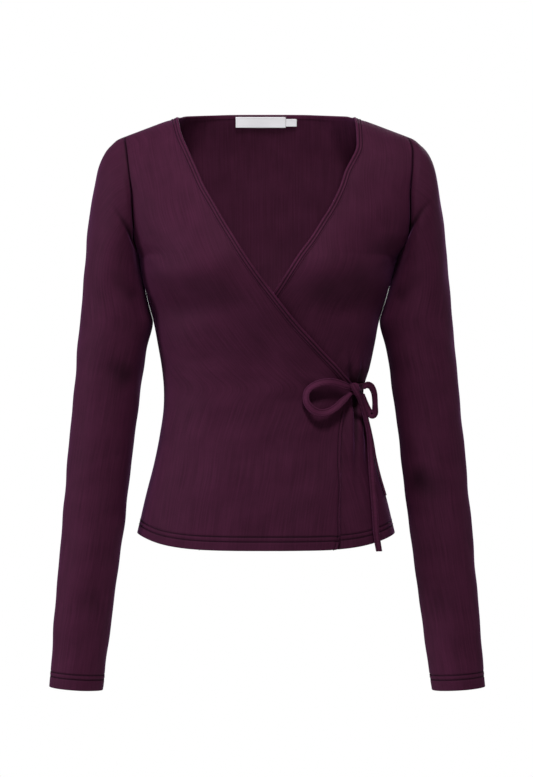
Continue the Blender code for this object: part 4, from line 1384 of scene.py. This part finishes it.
def bindingGrid(edge, seam, face, lift, flip):
    width = bindings["width"][face]
    keep = 1 - ease((shoulderHeight(edge[:, 0]) - edge[:, 1]) / grids["ridgeFade"])
    base = []
    shares = np.linspace(0, 1, bindings["baseRows"])
    for share in shares:
        x, z = (edge + (seam - edge) * share).T
        level = shoulderHeight(seam[:, 0]) * share + shoulderHeight(edge[:, 0]) * (1 - share)
        z = z + keep * (shoulderHeight(x) - level)
        base.append(onBody(x, z, face, lift(x)))
    base = np.array(base)
    normals = gridNormals(base, False, flip)
    run = np.concatenate([[0], np.cumsum(np.linalg.norm(np.diff(edge, axis=0), axis=1))])
    run = run if face == "front" else np.minimum(run, run[-1] - run)
    padded = bindings["flatShare"] + (1 - bindings["flatShare"]) * ease(run / bindings["flatEnd"])
    grid = []
    for away, level, ridge in bindingSection(face):
        at = np.clip(away / width, 0, 1) * (len(shares) - 1)
        low = min(int(at), len(shares) - 2)
        place = base[low] + (base[low + 1] - base[low]) * (at - low)
        normal = unit(normals[low] + (normals[low + 1] - normals[low]) * (at - low))
        grid.append(place + normal * (level + ridge * padded)[:, None])
    return np.array(grid)


def binding(name, edge, seam, face, lift, flip):
    grid = bindingGrid(edge, seam, face, lift, flip)
    away = np.array([a for a, *_ in bindingSection(face)[: bindings["crossSteps"]]])
    # Painted shade along the binding's stitch channels
    paintedShade = np.zeros(grid.shape[:2])
    paintedShade[: len(away)] = paintedStitchShade(away, bindings["stitchLines"])[:, None]
    strip = clothShell(name + "_cloth", grid, bindings["wall"], flip=not flip, paintedShade=paintedShade)
    parts[name] = finished(strip, bindingJersey)
    lines = []
    for stitchLine in bindings["stitchLines"]:
        at = np.interp(-stitchLine, -away, range(len(away)))
        low = int(at)
        lines.append(grid[low] + (grid[low + 1] - grid[low]) * (at - low))
    stitchesOf[name] = stitchLines(name + "_stitches", lines)


for side, name, node in ((-1, "over", "neck_band_right"), (1, "under", "neck_band_left")):
    waist = int(np.searchsorted(rows, grids["waistRow"])) + 1
    edge, seam = (line[:waist] for line in edgeLines(side, name))
    binding(node, edge, seam, "front", lambda x: rideHeight(x, name), flip=side > 0)
edge, seam = backEdgeLines(grids["neckColumns"])
binding("neck_band_back", edge, seam, "back", np.zeros_like, flip=True)
print("bindings made")


# The bow: knot, loops and tails of one ribbon, and the tie that comes forward from the side seam. A loop
# turns about its own run, its outer edge forward, or back below 0; a tail's far edge lifts off the cloth.

tie = {
    "wall": 0.0016,
    "steps": 12,
    "columns": 21,
    "edgeRoll": 0.0003,
    "full": 0.0090,
    "hollow": 0.4,
    "groove": 0.00035,
    "grooveAt": 0.6,  # of half the width, and its own width
    "grooveWidth": 0.12,
    "drawn": 0.45,
    # how dark the painted shade is in the ribbon's grooves
    "paintedShade": 0.45,
}
knotForm = {
    "x": 0.1080,
    "down": 0.3453,
    "out": 0.0081,
    "half": (0.0082, 0.0060, 0.0074),
    "segments": (72, 48),
    "slant": 0.28,
    "wrapHalf": 0.52,
    "wrapSoft": 0.05,
    "grooveAt": 0.60,
    "grooveWidth": 0.09,
    "size": 0.90,
    "wrapOver": 0.13,
    "pleat": 0.025,
    "pleats": 15,
    "gather": 0.05,
    "gathers": 7,
}
loopFront = table(
    "x       down    y        width   turn",
    (0.1087, 0.3440, -0.0606, 0.0042, 12),
    (0.1040, 0.3430, -0.0664, 0.0066, 5),
    (0.0963, 0.3406, -0.0738, 0.0084, -8),
    (0.0869, 0.3377, -0.0814, 0.0090, -20),
    (0.0774, 0.3367, -0.0878, 0.0090, -28),
    (0.0668, 0.3382, -0.0917, 0.0090, -32),
    (0.0575, 0.3422, -0.0924, 0.0090, -36),
    (0.0512, 0.3483, -0.0925, 0.0090, -38),
    (0.0494, 0.3558, -0.0924, 0.0090, -36),
    (0.0510, 0.3633, -0.0926, 0.0090, -26),
    (0.0574, 0.3709, -0.0927, 0.0090, -8),
    (0.0668, 0.3752, -0.0909, 0.0090, 12),
    (0.0775, 0.3737, -0.0870, 0.0090, 25),
    (0.0875, 0.3680, -0.0812, 0.0090, 28),
    (0.0961, 0.3598, -0.0740, 0.0084, 24),
    (0.1028, 0.3538, -0.0672, 0.0066, 18),
    (0.1085, 0.3491, -0.0606, 0.0042, 12),
)
loopSide = table(
    "x       down    y        width   turn",
    (0.1214, 0.3512, -0.0490, 0.0042, 5),
    (0.1220, 0.3558, -0.0480, 0.0066, 8),
    (0.1240, 0.3635, -0.0455, 0.0084, 12),
    (0.1280, 0.3725, -0.0430, 0.0090, 10),
    (0.1328, 0.3782, -0.0436, 0.0090, 5),
    (0.1364, 0.3755, -0.0452, 0.0090, 28),
    (0.1367, 0.3663, -0.0472, 0.0090, 46),
    (0.1364, 0.3582, -0.0476, 0.0090, 46),
    (0.1353, 0.3499, -0.0484, 0.0090, 40),
    (0.1318, 0.3426, -0.0496, 0.0090, 30),
    (0.1270, 0.3404, -0.0508, 0.0086, 22),
    (0.1241, 0.3422, -0.0502, 0.0066, 14),
    (0.1227, 0.3446, -0.0490, 0.0042, 10),
)
tailFront = table(
    "x       down    out     width   turn",
    (0.1072, 0.3392, 0.0122, 0.0080, 25),
    (0.1106, 0.3458, 0.0152, 0.0086, 24),
    (0.1145, 0.3524, 0.0164, 0.0088, 26),
    (0.1177, 0.3589, 0.0150, 0.0088, 28),
    (0.1208, 0.3682, 0.0130, 0.0088, 26),
    (0.1247, 0.3813, 0.0108, 0.0088, 26),
    (0.1278, 0.3936, 0.0080, 0.0088, 28),
    (0.1300, 0.4072, 0.0068, 0.0088, 30),
    (0.1312, 0.4284, 0.0063, 0.0088, 32),
    (0.1324, 0.4508, 0.0055, 0.0088, 32),
    (0.1338, 0.4719, 0.0051, 0.0088, 27),
    (0.1355, 0.4942, 0.0049, 0.0088, 23),
    (0.1374, 0.5245, 0.0046, 0.0088, 20),
    (0.1411, 0.5482, 0.0046, 0.0084, 20),
)
tailSide = table(
    "x       down    out     width   turn",
    (0.1128, 0.3499, 0.0060, 0.0046, 5),
    (0.1205, 0.3600, 0.0040, 0.0072, 2),
    (0.1255, 0.3730, 0.0030, 0.0088, 0),
    (0.1300, 0.3900, 0.0022, 0.0090, 0),
    (0.1348, 0.4120, 0.0022, 0.0090, 0),
    (0.1383, 0.4320, 0.0022, 0.0090, 0),
    (0.1440, 0.4560, 0.0022, 0.0090, 0),
    (0.1510, 0.4800, 0.0022, 0.0088, 0),
)
stretchForm = {
    "seamTurn": 88.0,
    "knotTurn": 62.8,
    "steps": 40,
    "down": 0.3435,
    "out": 0.0025,
    "width": 0.0085,
}


def alongTable(tableRows, columns):
    index = np.arange(len(tableRows["x"]))
    at = np.linspace(0, index[-1], tie["steps"] * index[-1] + 1)
    return [smooth(at, index, tableRows[c]) for c in columns.split()]


# A flat ribbon: rolled edges, and a lengthwise fold where it is drawn together at the knot
def ribbonShell(name, line, across, width):
    across = unit(across)
    normal = unit(np.cross(across, np.gradient(line, axis=0)))
    grid = []
    places = np.linspace(-1, 1, tie["columns"])
    grooves = bell(np.abs(places) - tie["grooveAt"], tie["grooveWidth"])
    for t, groove in zip(places, grooves):
        middle = 1 - t * t
        drawn = tie["drawn"] * (tie["full"] - width) * middle
        roll = tie["edgeRoll"] * (abs(t) ** 4 - tie["hollow"] * middle) - tie["groove"] * groove
        out = drawn + roll + tie["wall"] / 2
        grid.append(line + across * (width * t / 2)[:, None] + normal * out[:, None])
    # Painted shade in the grooves
    paintedShade = tie["paintedShade"] * grooves[:, None]
    return finished(clothShell(name, np.array(grid), tie["wall"], paintedShade=paintedShade), tieJersey)


def loopRibbon(name, tableRows):
    x, down, y, width, turn = alongTable(tableRows, "x down y width turn")
    line = np.stack([x, y, -down], axis=1)
    run = np.gradient(line, axis=0)
    outer = unit(np.stack([run[:, 2], 0 * x, -run[:, 0]], axis=1))
    turn = np.radians(turn)[:, None]
    return ribbonShell(name, line, outer * np.cos(turn) + np.array([0, -1, 0]) * np.sin(turn), width)


# A tail hangs straight across the folds of the cloth below it
def evenedRun(values):
    reach = 2 * tie["steps"]
    weights = np.hanning(2 * reach + 1)
    return np.convolve(np.pad(values, reach, mode="edge"), weights / weights.sum(), mode="valid")


def tailRibbon(name, tableRows):
    x, down, out, width, turn = alongTable(tableRows, "x down out width turn")
    nx, ny = (evenedRun(each) for each in outward(x, -down, "front"))
    turn = np.radians(turn)[:, None]
    level = np.stack([-ny, nx, 0 * nx], axis=1)
    normal = np.stack([nx, ny, 0 * nx], axis=1)
    across = level * np.cos(turn) + normal * np.sin(turn)
    below = evenedRun(onBody(x - nx * out, -down, "front")[:, 1])
    return ribbonShell(name, np.stack([x, below + ny * out, -down], axis=1), across, width)


def stretchRibbon(name):
    turn = np.radians(np.linspace(stretchForm["seamTurn"], stretchForm["knotTurn"], stretchForm["steps"]))
    grid = []
    for t in np.linspace(-0.5, 0.5, tie["columns"]):
        down = stretchForm["down"] - t * stretchForm["width"]
        x = sectionHalf(1, down, "front") * np.sin(turn)
        roll = tie["edgeRoll"] * ((2 * abs(t)) ** 4)
        out = stretchForm["out"] * ease(np.linspace(0, 2, len(turn)))  # it leaves the side seam flat
        grid.append(onBody(x, -down, "front", out + tie["wall"] / 2 + roll))
    return finished(clothShell(name, np.array(grid), tie["wall"]), tieJersey)


# The knot: one turn of ribbon round the bundle, with the gathered bundle bulging at each end
def pulledKnot(name):
    form = knotForm
    x, down = form["x"], form["down"]
    nx, ny = (float(v) for v in outward(np.array(x), np.array(-down), "front"))
    lump = bmesh.new()
    around, over = form["segments"]
    bmesh.ops.create_uvsphere(lump, u_segments=around, v_segments=over, radius=1.0)
    for v in lump.verts:
        px, py, pz = v.co
        across = px + form["slant"] * pz
        wrap = 1 / (1 + math.exp((abs(across) - form["wrapHalf"]) / form["wrapSoft"]))
        groove = bell(abs(across) - form["grooveAt"], form["grooveWidth"])
        pleats = math.sin(across * form["pleats"] + 1.2 * pz) * form["pleat"] * wrap
        gathers = math.sin(math.atan2(py, pz) * form["gathers"] + px * 3) * form["gather"] * (1 - wrap)
        size = form["size"] + form["wrapOver"] * (wrap - groove) + pleats + gathers
        v.co = Vector(p * half for p, half in zip(v.co, form["half"])) * size
    uvs = lump.loops.layers.uv.new("cloth")
    for face in lump.faces:
        for loop in face.loops:
            loop[uvs].uv = (loop.vert.co.x, loop.vert.co.z + loop.vert.co.y)
    data = bpy.data.meshes.new(name)
    lump.to_mesh(data)
    lump.free()
    data.shade_smooth()
    centre = onBody(x, -down, "front", form["out"])
    data.transform(Matrix.Translation(Vector(centre)) @ Matrix.Rotation(math.atan2(nx, -ny), 4, "Z"))
    return finished(placed(name, data), tieJersey)


for node, shape, *form in (
    ("tie_loop_front", loopRibbon, loopFront),
    ("tie_loop_side", loopRibbon, loopSide),
    ("tie_tail_front", tailRibbon, tailFront),
    ("tie_tail_side", tailRibbon, tailSide),
    ("tie_stretch", stretchRibbon),
    ("tie_knot", pulledKnot),
):
    parts[node] = shape(node + "_ribbon", *form)
print("bow made")


# Labels, woven and bare, sewn under the back binding

labelForm = {
    "neck_label": {"left": 0.0254, "right": -0.0392, "top": 0.0055, "height": 0.0135},
    "size_tab": {"left": 0.0396, "right": 0.0257, "top": 0.0030, "height": 0.0095},
}
labelCut = {
    "wall": 0.0006,
    "swing": 0.0016,
    "sway": (0.25, 130),
    "gap": 0.0006,
    "stitchIn": 0.0014,
    "pitch": 0.0012,
    "rows": 12,
    "stitches": {"Pitch": 0.0022, "Length": 0.0016, "Radius": 0.0002},
}


def wovenLabel(node):
    place, (sway, swayTurn) = labelForm[node], labelCut["sway"]
    across = int(round((place["left"] - place["right"]) / labelCut["pitch"])) + 1
    x = np.linspace(place["right"], place["left"], across)
    grid = []
    for t in np.linspace(0, 1, labelCut["rows"]):
        points = onBody(x, np.full(across, place["top"] - place["height"] * t), "back")
        swing = labelCut["swing"] * t**1.5 * (1 + sway * np.sin(x * swayTurn))
        points[:, 1] -= cloth["wall"] + 2 * bindings["wall"] + labelCut["gap"] + swing
        grid.append(points)
    grid = np.array(grid)
    parts[node] = finished(clothShell(node + "_ribbon", grid, labelCut["wall"]), labelCloth)
    line = lineFromEdge(grid[::-1], labelCut["stitchIn"])
    line[:, 1] -= labelCut["wall"] * 0.2
    stitchesOf[node] = stitchLines(node + "_stitches", [line], whiteThread, **labelCut["stitches"])


for node in labelForm:
    wovenLabel(node)
print("labels made")


# The studio

studio = {
    "pixel": 0.00127,  # metres a pixel at the middle of the body
    "frame": (533, 777),
    "distance": 3.6,
    "middle": (0.0006, -0.345),
    "sensor": 36.0,
    "floorDown": 1.10,
    "floorRadius": 1.7,
    "floorFade": 0.6,  # of the radius
    "floorSides": 96,
    "floorColour": (0.93, 0.93, 0.93, 1),
    "floorRoughness": 0.9,
    "spotBlend": 0.45,
    "spotSoftness": 0.15,
    "worldLight": 0.17,
}
# Soft square lights that face the body: place, size, power and colour
lights = {
    "keyLight": ((0.2, -2.0, 2.3), 0.7, 90, (0.96, 0.93, 1.0)),
    "sideLight": ((-2.7, -0.7, 0.3), 0.7, 50, (0.88, 0.85, 1.0)),
    "backLight": ((0.7, 2.8, 1.1), 1.8, 34, (1, 1, 1)),
    "rimLight": ((2.4, 0.8, 0.6), 1.2, 5, (1, 1, 1)),
}
neckBeam = {"place": (0.0, -3.3, -0.25), "target": (0.0, 0.05, -0.01), "wide": 0.086, "power": 200}


def studioCamera():
    data = bpy.data.cameras.new("studioCamera")
    data.sensor_fit = "VERTICAL"
    data.sensor_height = studio["sensor"]
    data.lens = studio["sensor"] * studio["distance"] / (studio["frame"][1] * studio["pixel"])
    made = placed("studioCamera", data)
    made.location = (studio["middle"][0], -studio["distance"], studio["middle"][1])
    made.rotation_euler = (math.pi / 2, 0, 0)
    scene.camera = made


def aimed(name, data, place, target):
    made = placed(name, data)
    made.location = place
    made.rotation_euler = (Vector(target) - Vector(place)).to_track_quat("-Z", "Y").to_euler()


def softLight(name, place, size, power, colour):
    data = bpy.data.lights.new(name, "AREA")
    data.shape = "SQUARE"
    data.size = size
    data.energy = power
    data.color = colour
    aimed(name, data, place, (0, 0, studio["middle"][1]))


# A narrow soft beam from the front, into the neck
def neckLight(place, target, wide, power):
    data = bpy.data.lights.new("neckLight", "SPOT")
    data.energy = power
    data.spot_size = wide
    data.spot_blend = studio["spotBlend"]
    data.shadow_soft_size = studio["spotSoftness"]
    aimed("neckLight", data, place, target)


def paleWorld(strength):
    world = bpy.data.worlds.new("paleStudio")
    world.use_nodes = True
    tree = world.node_tree
    back = tree.nodes["Background"]
    path = tree.nodes.new("ShaderNodeLightPath")
    seen = calc(tree, "MULTIPLY", path.outputs["Is Camera Ray"], 1.0 - strength)
    tree.links.new(calc(tree, "ADD", seen, strength), back.inputs["Strength"])
    back.inputs["Color"].default_value = (1, 1, 1, 1)
    scene.world = world


def paleFloor():
    disc = bmesh.new()
    bmesh.ops.create_circle(disc, cap_ends=True, segments=studio["floorSides"], radius=studio["floorRadius"])
    data = bpy.data.meshes.new("studioFloor")
    disc.to_mesh(data)
    disc.free()
    data.transform(Matrix.Translation((0, 0, -studio["floorDown"])))
    made = placed("studioFloor", data)
    material, tree, shader = newMaterial("paleFloor")
    shader.inputs["Base Color"].default_value = studio["floorColour"]
    shader.inputs["Roughness"].default_value = studio["floorRoughness"]
    where = tree.nodes.new("ShaderNodeTexCoord")
    split = tree.nodes.new("ShaderNodeSeparateXYZ")
    tree.links.new(where.outputs["Object"], split.inputs[0])
    squares = [calc(tree, "POWER", split.outputs[k], 2.0) for k in (0, 1)]
    radius = calc(tree, "SQRT", calc(tree, "ADD", *squares))
    fromRim = calc(tree, "SUBTRACT", studio["floorRadius"], radius)
    fade = calc(tree, "DIVIDE", fromRim, studio["floorRadius"] * studio["floorFade"])
    tree.links.new(calc(tree, "MINIMUM", fade, 1.0), shader.inputs["Alpha"])
    data.materials.append(material)


studioCamera()
paleWorld(studio["worldLight"])
for name, setting in lights.items():
    softLight(name, *setting)
neckLight(**neckBeam)
paleFloor()
scene.view_settings.view_transform = "Standard"
print("studio ready")


# What each piece is, and what it was cut to

cuts = {
    "back": {"flat": (0.400, 0.560), "held": "hung", "rests_on": ["neck_band_back"]},
    "front_right": {"flat": (0.330, 0.560), "area": 0.115, "held": "hung", "rests_on": ["back"]},
    "front_left": {"flat": (0.320, 0.560), "area": 0.112, "held": "hung", "rests_on": ["back"]},
    "sleeve_right": {"flat": (0.360, 0.670), "area": 0.158, "held": "hung", "rests_on": ["back"]},
    "sleeve_left": {"flat": (0.360, 0.670), "area": 0.157, "held": "hung", "rests_on": ["back"]},
    "neck_band_back": {"flat": (0.0145, 0.280), "held": "folded", "rests_on": ["back"]},
    "neck_band_right": {"flat": (0.0185, 0.440), "held": "folded", "rests_on": ["front_right"]},
    "neck_band_left": {"flat": (0.0185, 0.440), "held": "folded", "rests_on": ["front_left"]},
    "tie_loop_front": {"flat": (0.0100, 0.160), "held": "folded", "rests_on": ["tie_knot"]},
    "tie_loop_side": {"flat": (0.0100, 0.085), "held": "folded", "rests_on": ["tie_knot"]},
    "tie_tail_front": {"flat": (0.0100, 0.215), "held": "hung", "rests_on": ["tie_knot"]},
    "tie_tail_side": {"flat": (0.0100, 0.140), "held": "hung", "rests_on": ["tie_knot"]},
    "tie_stretch": {"flat": (0.0100, 0.055), "held": "laid", "rests_on": ["front_left"]},
    "tie_knot": {"flat": (0.0115, 0.030), "held": "folded", "rests_on": ["front_left"]},
    "neck_label": {"flat": (0.0646, 0.0135), "held": "hung", "rests_on": ["neck_band_back"]},
    "size_tab": {"flat": (0.0139, 0.0100), "held": "hung", "rests_on": ["neck_band_back"]},
}

for node, cut in cuts.items():
    piece = parts[node]
    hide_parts(node)
    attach(piece, "root")
    sewing = [stitchesOf[node]] if node in stitchesOf else []
    for row in sewing:
        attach(row, "root")
